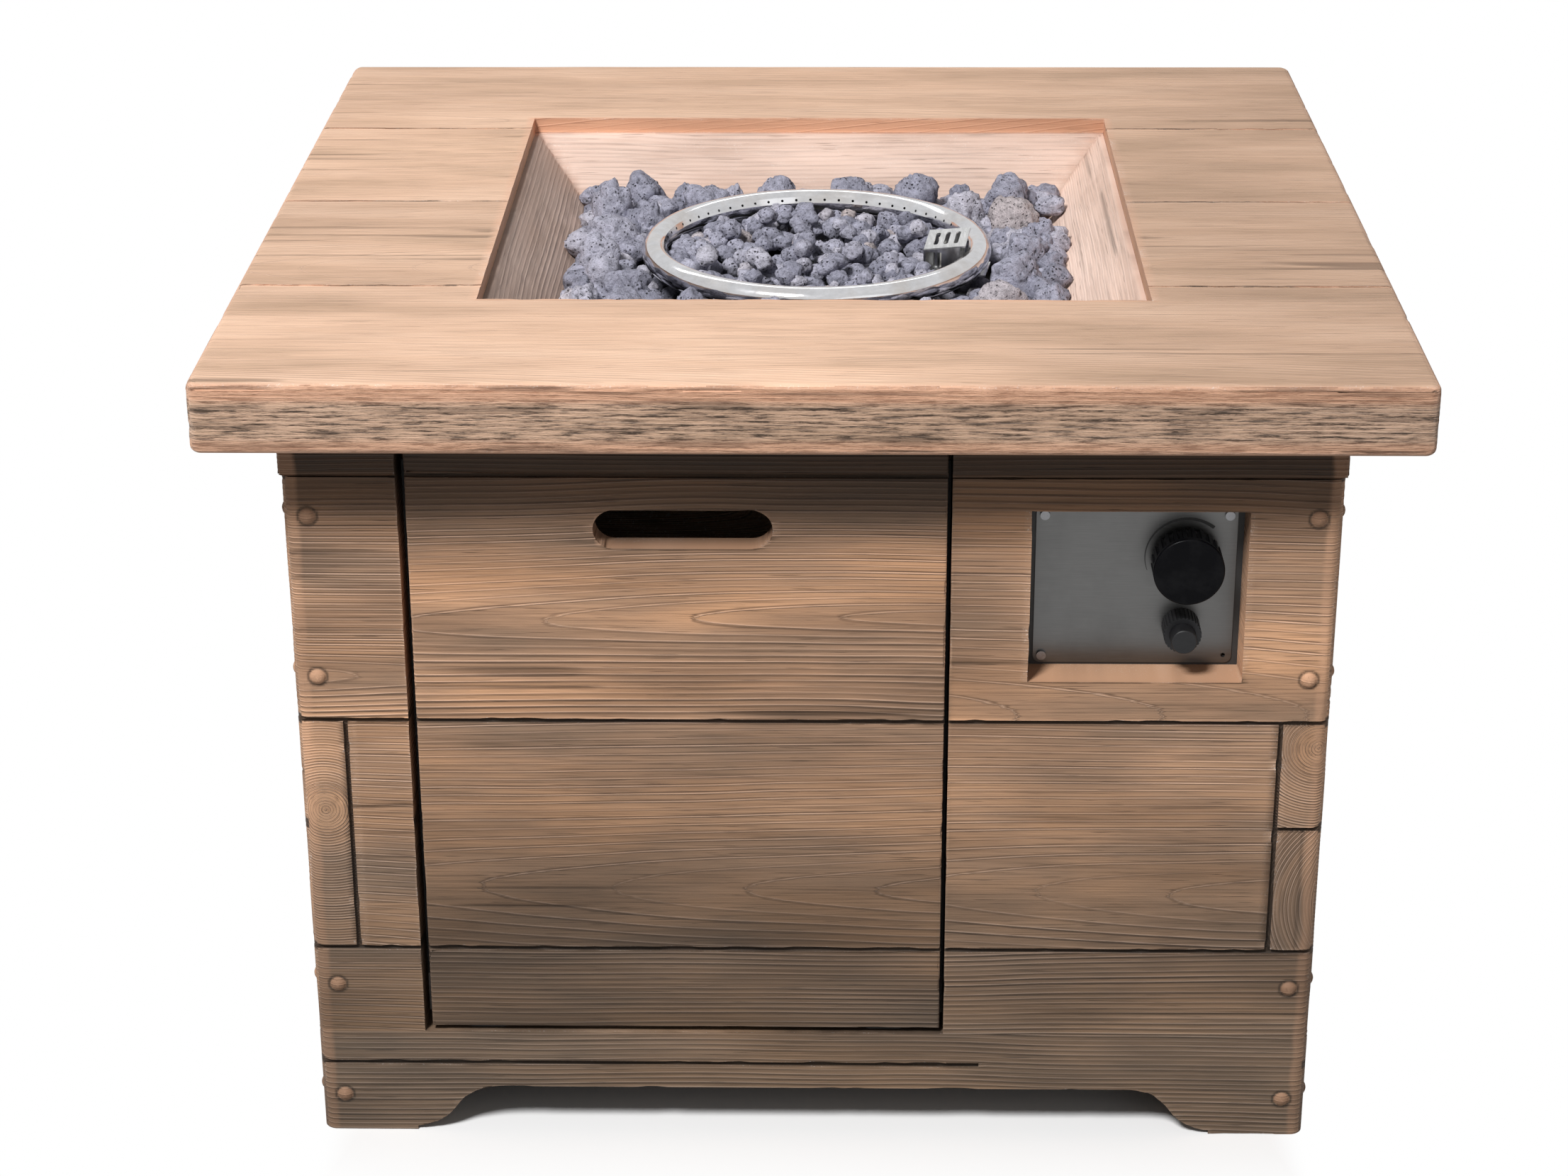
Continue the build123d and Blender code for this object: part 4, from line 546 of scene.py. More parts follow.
# Materials
top_colours = dict(
    shade=(0.62, 0.41, 0.28), middle=(0.78, 0.515, 0.36), warm=(0.86, 0.585, 0.42),
    stain=(0.76, 0.74, 0.72), pore_and_shadow=(0.36, 0.22, 0.15), ridge_wear_and_highlight=(0.9, 0.66, 0.52),
    patina=(0.8, 0.8, 0.8), rust=(0.75, 0.38, 0.23), rim=(0.86, 0.66, 0.54),
    chip=(0.9, 0.86, 0.82),
)
base_colours = dict(
    shade=(0.375, 0.24, 0.158), middle=(0.555, 0.33, 0.203), warm=(0.74, 0.415, 0.235),
    stain=(0.52, 0.5, 0.48), pore_and_shadow=(0.08, 0.045, 0.028), ridge_wear_and_highlight=(0.86, 0.58, 0.43),
    patina=(0.6, 0.73, 0.82), rust=(0.66, 0.38, 0.235), rim=(0.62, 0.42, 0.3),
    chip=(0.86, 0.8, 0.76),
)
well_colours = dict(
    shade=(0.7, 0.49, 0.39), middle=(0.88, 0.65, 0.54), warm=(0.93, 0.7, 0.59),
    stain=(0.7, 0.67, 0.65), pore_and_shadow=(0.34, 0.22, 0.17), ridge_wear_and_highlight=(0.94, 0.75, 0.65),
    patina=(0.8, 0.8, 0.8), rust=(0.5, 0.3, 0.22), rim=(0.82, 0.63, 0.54),
    chip=(0.88, 0.82, 0.78),
)
top_shares = dict(stain=0.5, fibre=0.45, pore=0.4, line_shadow=0.3, line=0.3, line_lift=0.3, fibre_lift=0.3)
base_shares = dict(stain=0.5, fibre=0.7, pore=0.6, line_shadow=0.9, line=0.6, line_lift=0.6, fibre_lift=0.45)
well_shares = dict(stain=0.7, fibre=0.5, pore=0.5, line_shadow=0.3, line=0.25, line_lift=0.28, fibre_lift=0.28)
top_cast = cast_material("cast_top", top_colours, top_shares)
base_cast = cast_material("cast_base", base_colours, base_shares)
well_cast = cast_material("cast_well", well_colours, well_shares)
lava = lava_material("lava_rock")


# Cast pieces: each is its solid, cut into fine rows along the grain and pressed in by the relief
def cut_rows(mesh, layer, axis, low, high, step):
    """Cuts the marked faces across one axis: a few far apart first, then the fine ones between."""
    normal = np.eye(3)[axis]
    count = max(1, int(round((high - low) / step)))
    places = [low + (high - low) * i / count for i in range(1, count)]

    def cut(geometry, place):
        made = bmesh.ops.bisect_plane(
            mesh, geom=geometry, dist=cut_tolerance, plane_co=normal * place, plane_no=normal)
        return made["geom"]

    def gathered(faces):
        edges = {edge for face in faces for edge in face.edges}
        corners = {corner for face in faces for corner in face.verts}
        return [*corners, *edges, *faces]

    coarse = places[::rows_in_slab]
    geometry = gathered([face for face in mesh.faces if face[layer]])
    for place in coarse:
        geometry = cut(geometry, place)
    bounds = [low] + coarse + [high]
    slabs = [[] for _ in bounds[1:]]
    for face in mesh.faces:
        if face[layer]:
            middle = face.calc_center_median()[axis]
            index = int(np.searchsorted(bounds, middle)) - 1
            slabs[min(max(index, 0), len(slabs) - 1)].append(face)
    for faces, first, last in zip(slabs, bounds, bounds[1:]):
        geometry = gathered(faces)
        for place in places:
            if faces and first < place < last:
                geometry = cut(geometry, place)


def top_layout(points, normals):
    """Grain of the table top: planks left to right on top, and along each edge on the sides."""
    facing = np.argmax(np.abs(normals), axis=1)
    along = np.where(facing == 0, 1, 0)
    across = np.where(facing == 2, 1, 2)
    side = np.take_along_axis(points, facing[:, None], 1)[:, 0] > 0
    edge_plank = edge_planks + facing * 2 + side
    plank = np.where(facing == 2, np.floor((points[:, 1] + 2 * plank_width) / plank_width), edge_plank)
    lip = (np.abs(points[:, :2]).max(1) < opening_half + 0.002) & (facing != 2)
    return along, across, np.where(lip, lip_planks + facing, plank).astype(int)


def wall_layout(outward_axis, first_plank):
    """Grain of a base panel: level boards between the seams, with upright blocks at the corners."""
    level_axis = 1 - outward_axis

    def layout(points, normals):
        level, height = points[:, level_axis], points[:, 2]
        band = np.searchsorted(seam_heights, height)
        stile = np.where(level < doorway_left, left_stile, np.where(level > doorway_right, right_stile, 0))
        stile = np.where((height < door_sill) | (first_plank != front_planks), 0, stile)
        facing = np.argmax(np.abs(normals), axis=1)
        ends = (facing == level_axis) & (np.abs(level) > base_half - 0.006)
        block = (np.abs(level) > block_edge) & (band == 1) & (outward_axis == 1) & ~ends
        along = np.where(block, 2, np.where(ends, outward_axis, level_axis))
        across = np.where(block, level_axis, 2)
        block_plank = corner_block + (level > 0) * (1 + upper_block * (height > block_split))
        plank = np.where(block, block_plank, band + stile + board_end * ends)
        return along, across, (plank + first_plank).astype(int)

    return layout


def well_layout(points, normals):
    """Grain of the well: along each of the four slopes."""
    facing = np.where(np.abs(points[:, 0]) > np.abs(points[:, 1]), 0, 1)
    along = 1 - facing
    plank = well_planks + facing * 2 + (np.take_along_axis(points, facing[:, None], 1)[:, 0] > 0)
    return along, np.full(len(points), 2), plank.astype(int)


def ring_values(along, across, plank):
    """Ring count and its rate per metre at each point, plank by plank."""
    turn = np.zeros(len(along))
    rate = np.ones(len(along))
    for number in np.unique(plank):
        mask = plank == number
        a, c = along[mask], across[mask]
        number = int(number)
        dice = random.Random(number * 17 + 3)
        wander = 0.006 * noise(a * 2.6, c * 5.0, 0, number + 11)
        wander = wander + 0.0011 * noise(a * 11, c * 18, 0, number + 12)
        if number in end_grain:
            pith_along, pith_across, spacing = end_grain[number]
            wander = 0.12 * wander
            run, rise = c - pith_across + wander, a - pith_along
            reach = np.hypot(run, rise)
            slope = 0.25 + 0.75 * ease(0.012, 0.03, reach)
        else:
            centre = c.mean() + dice.choice((-1, 1)) * dice.uniform(0.03, 0.16)
            tip = dice.uniform(-0.9, 0.9)
            tilt = dice.choice((-1, 1)) * dice.uniform(0.02, 0.08)
            deep = dice.uniform(0.01, 0.05)
            spacing = dice.uniform(0.0027, 0.004)
            if number in cathedral:
                centre, tip, tilt, deep, spacing = cathedral[number]
            depth = deep + tilt * (a - tip)
            run = c - centre + wander
            reach = np.sqrt(run ** 2 + depth ** 2) + 1e-6
            slope = np.hypot(run, depth * tilt) / reach
        turn[mask] = reach / spacing + number * 31
        rate[mask] = np.maximum(slope, 0.06) / spacing
    return turn, rate


def grain_of(points, axes):
    """Places along and across the grain, and the plank numbers."""
    along_axis, across_axis, plank = axes
    rows = np.arange(len(points))
    return points[rows, along_axis], points[rows, across_axis], plank


def lay_grain(data, points, layout, look):
    """Grain map in metres, ring count and roughness on each face corner, by its face's plank."""
    grain = data.uv_layers.new(name="Grain")
    centres = read_all(data.polygons, "center", 3)
    facings = read_all(data.polygons, "normal", 3)
    totals = read_all(data.polygons, "loop_total", 1, np.int32)[:, 0]
    corners = read_all(data.loops, "vertex_index", 1, np.int32)[:, 0]
    owner = np.repeat(np.arange(len(totals)), totals)
    along_axis, across_axis, plank = layout(centres, facings)
    axes = (along_axis[owner], across_axis[owner], plank[owner])
    along, across, plank = grain_of(points[corners], axes)
    turn, rate = ring_values(along, across, plank)
    rough = np.isin(plank, look["rough_planks"]).astype(float)
    for number, (pith_along, pith_across, _) in end_grain.items():
        mask = plank == number
        run, rise = across[mask] - pith_across, along[mask] - pith_along
        along[mask] = np.abs(np.arctan2(run, rise)) * end_grain_reach
        across[mask] = np.hypot(run, rise)
    places = np.stack([along + plank * plank_shift[0], across + plank * plank_shift[1]], 1)
    grain.data.foreach_set("uv", places.astype(np.float32).ravel())
    store(data, "CORNER", turn=turn, rate=rate, rough=rough)


def stud_shares(points):
    """1 on the cast studs and 0 elsewhere, and 1 in the painted shadow ring round each stud's foot."""
    studs = np.zeros(len(points))
    stud_shadow = np.zeros(len(points))
    for side_x, side_y, height in product((-1, 1), (-1, 1), stud_heights):
        front = (side_x * stud_place, side_y * base_half, height)
        end = (side_x * base_half, side_y * stud_place, height)
        for place in (front, end):
            reach = np.linalg.norm(points - place, axis=1)
            studs = np.maximum(studs, 1 - ease(stud_radius * 0.8, stud_radius, reach))
            ring = np.abs(reach - stud_radius * 1.06)
            stud_shadow = np.maximum(stud_shadow, 1 - ease(0.0003, 0.0015, ring))
    return studs, stud_shadow


def rounded_corners(points):
    """Pulls the base's upright corners in to the worn radius."""
    made = points.copy()
    reach = np.abs(points[:, :2]) - (base_half - worn_radius)
    away = np.hypot(reach[:, 0], reach[:, 1])
    outside = (reach.min(1) > 0) & (away > worn_radius) & (points[:, 2] < seam_heights[2] - 0.001)
    pull = (worn_radius / np.maximum(away, worn_radius))[:, None]
    pulled = np.sign(points[:, :2]) * (base_half - worn_radius + reach * pull)
    made[outside, :2] = pulled[outside]
    return made


def seam_share(points, normals):
    """1 down in the cast seams between boards and 0 on the boards."""
    made = np.zeros(len(points))
    z = points[:, 2]
    for axis in (0, 1):
        level = np.abs(points[:, 1 - axis])
        outward = np.abs(points[:, axis])
        facing = (np.abs(normals[:, axis]) > 0.9) & (outward > base_half - 0.02)
        if not facing.any() or np.ptp(points[facing, 1 - axis]) < 0.1:
            continue
        inset = np.median(outward[facing]) - outward
        near = np.min([np.abs(z - height) for height in seam_heights + (foot_seam, block_split)], axis=0)
        near = np.minimum(near, np.abs(level - block_edge))
        made = np.maximum(made, ease(0.0003, 0.0012, inset) * (inset < 0.012) * (near < 0.0036))
    return made


def corner_share(points):
    """1 along the rubbed upright corners of the base and 0 elsewhere."""
    reach = np.abs(points[:, :2]).min(1)
    dirt = 0.002 * noise_at(points, 60, 71)
    return ease(base_half - worn_radius - 0.003, base_half - worn_radius + 0.001, reach + dirt)


def crack_share(points, along, across, plank, rough):
    """1 in the cracks and 0 elsewhere: thin ones, torn ones on rough planks, and one long split."""
    thin = ease(0.66, 0.84, noise(along * 5, across * 210, plank * 1.9, 8))
    thin = thin * ease(0.0, 0.5, noise(along * 3, across * 9, plank, 9))
    torn = ease(0.35, 0.7, noise(along * 16, across * 300, plank, 10))
    run = np.abs(points[:, 2] - split_place[1] - split_slope * (points[:, 0] - split_place[0]))
    split = (plank == split_plank) * (1 - ease(*split_widths, run))
    return np.maximum(np.where(rough, torn, thin), split)


def board_depth(along, across, plank, crack):
    """How far the boards are pressed in between ridges, in swells and in cracks."""
    turn, rate = ring_values(along, across, plank)
    line = 1 - ease(0, 3 * ridge_width, np.abs(turn % 1 - 0.5) / rate)
    swell = noise(along * 6, across * 22, plank, 14)
    return ridge_height * (1 - line) + crack_depth * crack + swell_depth * (1 - swell)


def board_tone(z, along, across, plank, look):
    """Tone of the blotched boards, and the painted shade near the floor and under the slab."""
    blotch = 0.6 * noise(along * 3.4, across * 13, plank * 2.3, 31)
    blotch = blotch + 0.4 * noise(along * 11, across * 42, plank, 32)
    names = np.unique(plank)
    tones = np.array([random.Random(int(name)).uniform(-board_spread, board_spread) for name in names])
    tone = 1 + tones[np.searchsorted(names, plank)] + look["blotch_share"] * blotch
    # painted shade: darker towards the floor, where the light falls off
    foot = look["foot_tone"] + (1 - look["foot_tone"]) * ease(*look["foot_range"], z)
    # painted shadow of the slab: the band above the top seam, and the base fading darker up to the slab
    band = band_shade * ease(seam_heights[2] - 0.002, seam_heights[2] + 0.003, z)
    under = look["under_slab"] * np.maximum(ease(*shade_heights, z + 0.012 * blotch), band)
    return tone, foot, under


def fine_mesh(node_name, cuts, hidden_side, fine_cuts):
    """A node's own shape, cut into rows where it shows: mesh, points, normals and what shows."""
    mesh = bmesh.new()
    mesh.from_mesh(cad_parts[node_name].data)
    bmesh.ops.remove_doubles(mesh, verts=mesh.verts, dist=weld_distance)
    bmesh.ops.dissolve_limit(
        mesh, angle_limit=math.radians(flat_angle), verts=mesh.verts, edges=mesh.edges)
    layer = mesh.faces.layers.int.new("shows")
    away = Vector(hidden_side)
    for face in mesh.faces:
        face[layer] = 0 if face.normal.dot(away) > 0.5 else 1
    low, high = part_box(node_name)
    for axis, step in cuts:
        cut_rows(mesh, layer, axis, low[axis], high[axis], step)
    for axis, first, last, step in fine_cuts:
        if low[axis] < first and last < high[axis]:
            cut_rows(mesh, layer, axis, first, last, step)
    mesh.normal_update()
    shows = np.array([all(face[layer] for face in corner.link_faces) for corner in mesh.verts])
    points = np.array([corner.co for corner in mesh.verts])
    normals = np.array([corner.normal for corner in mesh.verts])
    data = bpy.data.meshes.new("dressed_" + node_name)
    mesh.to_mesh(data)
    mesh.free()
    return data, points, normals, shows


def dress(node_name, layout, cuts, hidden_side, material, body, look):
    """Replaces a cast node by its own shape with the timber relief pressed in where it shows."""
    data, points, normals, shows = fine_mesh(node_name, cuts, hidden_side, look["close_cuts"])
    z = points[:, 2]
    nothing = np.zeros(len(points))
    grain = grain_of(points, layout(points, normals))
    rough = np.isin(grain[2], look["rough_planks"])
    crack = crack_share(points, *grain, rough)
    studs, stud_shadow = stud_shares(points) if look["studs"] else (nothing, nothing)
    seams = seam_share(points, normals) if look["seams"] else nothing
    rubbed = corner_share(points) if look["corners"] else nothing
    edge = 1 - ease(0.8, 0.97, np.abs(normals).max(1))
    chip = ease(0.1, 0.7, noise_at(points, 90, 21))
    # relief
    depth = board_depth(*grain, crack)
    depth = np.where(edge > 0.3, edge_depth * (0.2 + chip), depth) * shows * look["depth_share"]
    depth = depth * (1 - 0.8 * studs)
    moved = points - normals * depth[:, None]
    if look["corners"]:
        moved = rounded_corners(moved)
    data.vertices.foreach_set("co", moved.astype(np.float32).ravel())
    # tone with painted shade, wear, rust and patina
    tone, foot, under = board_tone(z, *grain, look)
    # foot is painted shade, darker towards the floor
    tone = (tone - crack_tone * crack + rough_tone * rough) * foot
    # painted shadow ring round each stud; side_tone darkens the well's left slope as painted shade and the
    # top's right side as weathering and painted shade
    tone = tone * (1 - stud_shadow_tone * stud_shadow) * (1 - seam_tone * seams) * look["side_tone"](points)
    # painted shadow under the slab, half as strong on the rubbed corners
    tone = tone * (1 - under * (1 - 0.5 * rubbed))
    rust = studs * stud_rust + corner_rust * rubbed + look["rust"](points, normals)
    rim = edge * (0.35 + 0.65 * chip) * (1 - studs)
    patina = look["patina"] * (1 - ease(0.0, patina_height, z))
    store(data, "POINT", tone=np.clip(tone, *tone_limits), wear=np.clip(rim * look["chips"], 0, 1),
          rust=np.clip(rust, 0, 1), patina=patina)
    lay_grain(data, points, layout, look)
    data.materials.append(material)
    data.shade_smooth()
    data.set_sharp_from_angle(angle=math.radians(smooth_angle))
    piece = linked("cast_" + node_name, data)
    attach(piece, body)
    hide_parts(node_name)


def even_tone(points):
    return np.ones(len(points))


def top_weather_and_shade(points):
    """The right of the table top is darker than the left: partly weathering, partly painted shade."""
    x, y, _ = points.T
    drift = 0.06 * noise(x * 6, y * 9, 0, 61)
    return 1 - 0.24 * ease(0.0, 0.35, x + drift)


def well_slope_shade(points):
    """The left slope of the well is darker: painted shade."""
    x, y, _ = points.T
    return 1 - 0.33 * ease(0.0, 0.006, -x - np.abs(y))


def no_rust(points, normals):
    return np.zeros(len(points))


def lip_rust(points, normals):
    """The red lip round the opening, and rubbed strips along the slab's upper and lower edges."""
    x, y, z = points.T
    reach = np.abs(points[:, :2]).max(1)
    lip = (reach < opening_half + 0.0015) & (z > slab_top - 0.02)
    outside = reach > opening_half + 0.1
    strip = ease(0.016, 0.01, slab_top - z) * outside * ease(0.95, 0.7, normals[:, 2])
    foot = slab_top - slab_thick
    strip = np.maximum(strip, 0.8 * ease(0.013, 0.007, z - foot) * outside)
    back = ease(0.2, 0.23, y)
    dirt = 0.5 + 0.5 * noise(x * 40, y * 40, z * 120, 63)
    return np.where(lip, 0.25 + 0.55 * back + 0.25 * dirt * (1 - back), 0.55 * strip)


def slot_rust(points, normals):
    """The rubbed red edge of openings in the panels."""
    reveal = np.abs(normals[:, 2]) + np.abs(normals[:, 0])
    inside = (np.abs(points[:, 0]) < 0.3) & (points[:, 2] > 0.36) & (points[:, 2] < 0.5)
    return np.where(inside, 0.55 * ease(0.6, 0.95, reveal), 0.0)


def mitre_rust(points, normals):
    """Dust and soot in the well's corners."""
    near = np.abs(np.abs(points[:, 0]) - np.abs(points[:, 1]))
    return 0.5 * (1 - ease(0.001, 0.007, near))


def close_cuts(axis):
    """Fine columns at the upright edges and at the studs."""
    places = []
    for side in (-1, 1):
        places.append((side * stud_place, stud_reach, stud_step))
        places.append((side * block_edge, edge_step, edge_step))
    for edge, shift in product((doorway_left, doorway_right), (-edge_step, edge_step)):
        places.append((edge + shift, edge_step, edge_step))
    return [(axis, place - reach, place + reach, step) for place, reach, step in places]


# Fine columns in the worn corners, on both of their sides
corner_cuts = []
for axis, side in product((0, 1), (-1, 1)):
    ends = sorted((side * (base_half - worn_radius - corner_start), side * (base_half - corner_end)))
    corner_cuts.append((axis, *ends, corner_step))

# How each cast piece is worn, and where painted shade darkens it
smooth_look = dict(
    close_cuts=(), corners=False, rough_planks=(), depth_share=0.7, studs=False,
    foot_tone=1.0, foot_range=(0.04, 0.44), seams=False, patina=0.0, under_slab=0.0,
)
top_look = dict(
    smooth_look, rough_planks=range(edge_planks, edge_planks + 4), blotch_share=0.12,
    rust=lip_rust, chips=0.6, slot="cast_timber", side_tone=top_weather_and_shade,
)
well_look = dict(
    smooth_look, blotch_share=0.2,
    rust=mitre_rust, chips=0.3, slot="well_cast", side_tone=well_slope_shade,
)
wall_look = dict(
    smooth_look, close_cuts=close_cuts(0) + corner_cuts, corners=True, depth_share=1.0,
    studs=True, blotch_share=0.42, foot_tone=0.5, seams=True, patina=0.75, under_slab=0.8,
    rust=slot_rust, chips=0.7, slot="cast_timber_dark", side_tone=even_tone,
)
back_look = dict(wall_look, rust=no_rust)
side_look = dict(back_look, close_cuts=close_cuts(1), corners=False)
door_look = dict(wall_look, studs=False, corners=False, foot_tone=0.33, foot_range=(0.1, 0.46))
top_cuts = ((0, column_step), (1, top_row_step), (2, top_row_step))
front_cuts = ((0, column_step), (2, row_step))
side_cuts = ((1, column_step), (2, row_step))
well_cuts = ((0, column_step), (1, column_step), (2, row_step))
front_layout = wall_layout(1, front_planks)
dress("table_top", top_layout, top_cuts, (0, 0, -1), top_cast, "table", top_look)
dress("front_wall", front_layout, front_cuts, (0, 1, 0), base_cast, "table", wall_look)
dress("back_wall", wall_layout(1, back_planks), front_cuts, (0, -1, 0), base_cast, "table", back_look)
dress("left_wall", wall_layout(0, left_planks), side_cuts, (1, 0, 0), base_cast, "table", side_look)
dress("right_wall", wall_layout(0, right_planks), side_cuts, (-1, 0, 0), base_cast, "table", side_look)
dress("door_panel", front_layout, front_cuts, (0, 1, 0), base_cast, "door", door_look)
dress("well_surround", well_layout, well_cuts, (0, 0, -1), well_cast, "table", well_look)


# Lava rocks: rough lumps where the solids' rocks stand, and filler rocks where the bed is
def rock_template(divisions):
    """Directions and faces of a ball that every rock starts from."""
    lump = bmesh.new()
    bmesh.ops.create_icosphere(lump, subdivisions=divisions, radius=1.0)
    lump.verts.index_update()
    directions = np.array([corner.co for corner in lump.verts])
    faces = np.array([[corner.index for corner in face.verts] for face in lump.faces])
    lump.free()
    return directions, faces


fine_template = rock_template(4)
plain_template = rock_template(3)


def rock_shape(directions, size, seed):
    """Points of one lump, with a few broken flats, soft swells and pits, and the painted shade of its
    pits.
    """
    dice = random.Random(seed)
    shift = seed * 7.31
    radius = 1 + 0.26 * noise_at(directions, 1.4, 41, shift)
    radius = radius + 0.15 * noise_at(directions, 3.2, 42, shift)
    for _ in range(7):
        facing = Vector([dice.gauss(0, 1) for _ in range(3)]).normalized()
        reach = dice.uniform(0.7, 0.98)
        towards = directions @ np.array(facing)
        flat = np.where(towards > 0.25, reach / np.maximum(towards, 0.25), 9.0)
        radius = np.where(flat < radius, flat * 0.8 + radius * 0.2, radius)
    coarse_pits = ease(0.3, 0.62, noise_at(directions, 6.5, 43, shift))
    fine_pits = ease(0.25, 0.6, noise_at(directions, 13, 44, shift))
    grit = noise_at(directions, 20, 45, shift)
    radius = radius - 0.12 * coarse_pits - 0.06 * fine_pits + 0.025 * grit
    # painted shade in the pits
    cavity = np.clip(1 - 0.75 * coarse_pits - 0.5 * fine_pits, 0, 1)
    points = directions * radius[:, None]
    turn = Matrix.Rotation(dice.uniform(0, math.tau), 3, "Z")
    points = points @ np.array(turn).T
    points = points / np.abs(points).max(0)
    return points * size / 2, cavity


def rock_pile(name, rocks, template, node_name):
    """One piece of many rocks; each is (centre, size, seed). Pits and deep places get painted shade."""
    directions, template_faces = template
    points, hollow_shades, tones, faces = [], [], [], []
    for number, (centre, size, seed) in enumerate(rocks):
        shape, cavity = rock_shape(directions, size, seed)
        points.append(shape + centre)
        # painted shade: pits, and the lower rocks, darker
        height = ease(*rock_shade_heights, shape[:, 2] + centre[2])
        hollow_shades.append(cavity * (rock_shade + (1 - rock_shade) * height))
        tones.append(np.full(len(shape), random.Random(seed + 99).random()))
        faces.append(template_faces + number * len(directions))
    data = bpy.data.meshes.new(name)
    data.from_pydata(np.concatenate(points), [], np.concatenate(faces))
    store(data, "POINT", cavity=np.concatenate(hollow_shades), rock_tone=np.concatenate(tones))
    data.materials.append(lava)
    data.shade_smooth()
    piece = linked(name, data)
    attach(piece, "table")
    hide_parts(node_name)


def solids_of(node_name):
    """Lowest and highest corner of each separate solid in a node."""
    lump = bmesh.new()
    lump.from_mesh(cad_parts[node_name].data)
    bmesh.ops.remove_doubles(lump, verts=lump.verts, dist=weld_distance)
    found = []
    seen = set()
    for corner in lump.verts:
        if corner in seen:
            continue
        group = [corner]
        seen.add(corner)
        for current in group:
            for edge in current.link_edges:
                other = edge.other_vert(current)
                if other not in seen:
                    seen.add(other)
                    group.append(other)
        places = np.array([member.co for member in group])
        found.append((places.min(0), places.max(0)))
    lump.free()
    return found


def standing_rocks(node_name, seed):
    """A lump for each solid, sunk a little into the bed so that no flat foot shows."""
    rocks = []
    for number, (low, high) in enumerate(solids_of(node_name)):
        low = low - (0.0, 0.0, rock_sink)
        rocks.append(((low + high) / 2, high - low, seed + number))
    return rocks


def broken_rocks(rocks):
    """Each lump as a close group of three, inside the lump's own room."""
    dice = random.Random(8)
    made = []
    for centre, size, seed in rocks:
        top = centre[2] + size[2] / 2
        turn = dice.uniform(0, math.tau)
        for step in range(3):
            angle = turn + math.tau * step / 3
            wide = size[:2].mean() * dice.uniform(0.58, 0.7)
            tall = wide * dice.uniform(0.75, 1.0)
            reach = size[:2].mean() / 2 - wide / 2
            peak = top - step * dice.uniform(0.002, 0.005)
            x = centre[0] + reach * math.cos(angle)
            y = centre[1] + reach * math.sin(angle)
            room = (wide, wide * dice.uniform(0.8, 1.0), tall)
            made.append(((x, y, peak - tall / 2), room, group_seed + seed * 3 + step))
    return made


def split_piles(name, rocks, template, node_name, parts):
    """Several pieces, so that none has too many faces."""
    share = math.ceil(len(rocks) / parts)
    for part in range(parts):
        rock_pile(f"{name}_{part + 1}", rocks[part * share:(part + 1) * share], template, node_name)


def near_hood(x, y):
    return math.hypot(x - hood_place[0], y - hood_place[1]) < hood_clear


def filler_rocks():
    """Rocks of the bed, in rows that are shaken loose: larger ones outside the ring."""
    dice = random.Random(5)
    rocks = []
    middle = (filler_count - 1) / 2
    for row, column in product(range(filler_count), repeat=2):
        x = (column - middle) * filler_step + dice.uniform(-filler_shake, filler_shake)
        x = x + (row % 2 - 0.5) * filler_step * filler_shift
        y = (row - middle) * filler_step + dice.uniform(-filler_shake, filler_shake)
        away = math.hypot(x, y)
        inside = away < ring_radius - ring_tube
        outside = away > ring_radius + ring_tube + ring_gap
        wide = dice.uniform(*(outer_widths if outside else inner_widths))
        tall = wide * dice.uniform(0.7, 0.95)
        top = dice.uniform(*under_ring_tops)
        if inside:
            top = dice.uniform(*inner_tops)
            pull = min(1.0, (ring_radius - ring_tube - wide / 2 - rock_gap) / max(away, 0.001))
            x, y = x * pull, y * pull
        if outside:
            top = dice.uniform(*outer_tops)
            push = max(1.0, (ring_radius + ring_tube + wide / 2 + rock_gap) / away)
            x, y = x * push, y * push
        if inside and near_hood(x, y):
            top = dice.uniform(*hood_tops)
        height = top - tall / 2
        room = slope_foot_half + (height - slope_foot_height) * slope_rate - wide / 2 - rock_gap
        x = max(-room, min(room, x))
        y = max(-room, min(room, y))
        size = (wide, wide * dice.uniform(0.75, 1.0), tall)
        rocks.append(((x, y, height), size, filler_seed + row * filler_count + column))
    return rocks


def edge_rocks():
    """Small rocks heaped against the inner side of the ring, clear of the hood."""
    dice = random.Random(9)
    rocks = []
    for number in range(edge_count):
        angle = math.tau * (number + dice.uniform(-0.3, 0.3)) / edge_count
        wide = dice.uniform(*edge_widths)
        tall = wide * dice.uniform(0.8, 1.0)
        reach = ring_radius - ring_tube - wide / 2 - edge_gap
        x, y = reach * math.cos(angle), reach * math.sin(angle)
        top = dice.uniform(*edge_tops)
        if not near_hood(x, y):
            size = (wide, wide * dice.uniform(0.8, 1.0), tall)
            rocks.append(((x, y, top - tall / 2), size, edge_seed + number))
    return rocks


inner_rocks = broken_rocks(standing_rocks("lava_rocks_inner", seed=100))
outer_rocks = standing_rocks("lava_rocks_outer", seed=300)
split_piles("lava_inner", inner_rocks, plain_template, "lava_rocks_inner", 2)
split_piles("lava_outer", outer_rocks, fine_template, "lava_rocks_outer", 3)
split_piles("lava_bed", filler_rocks() + edge_rocks(), plain_template, "lava_rock_bed", 4)

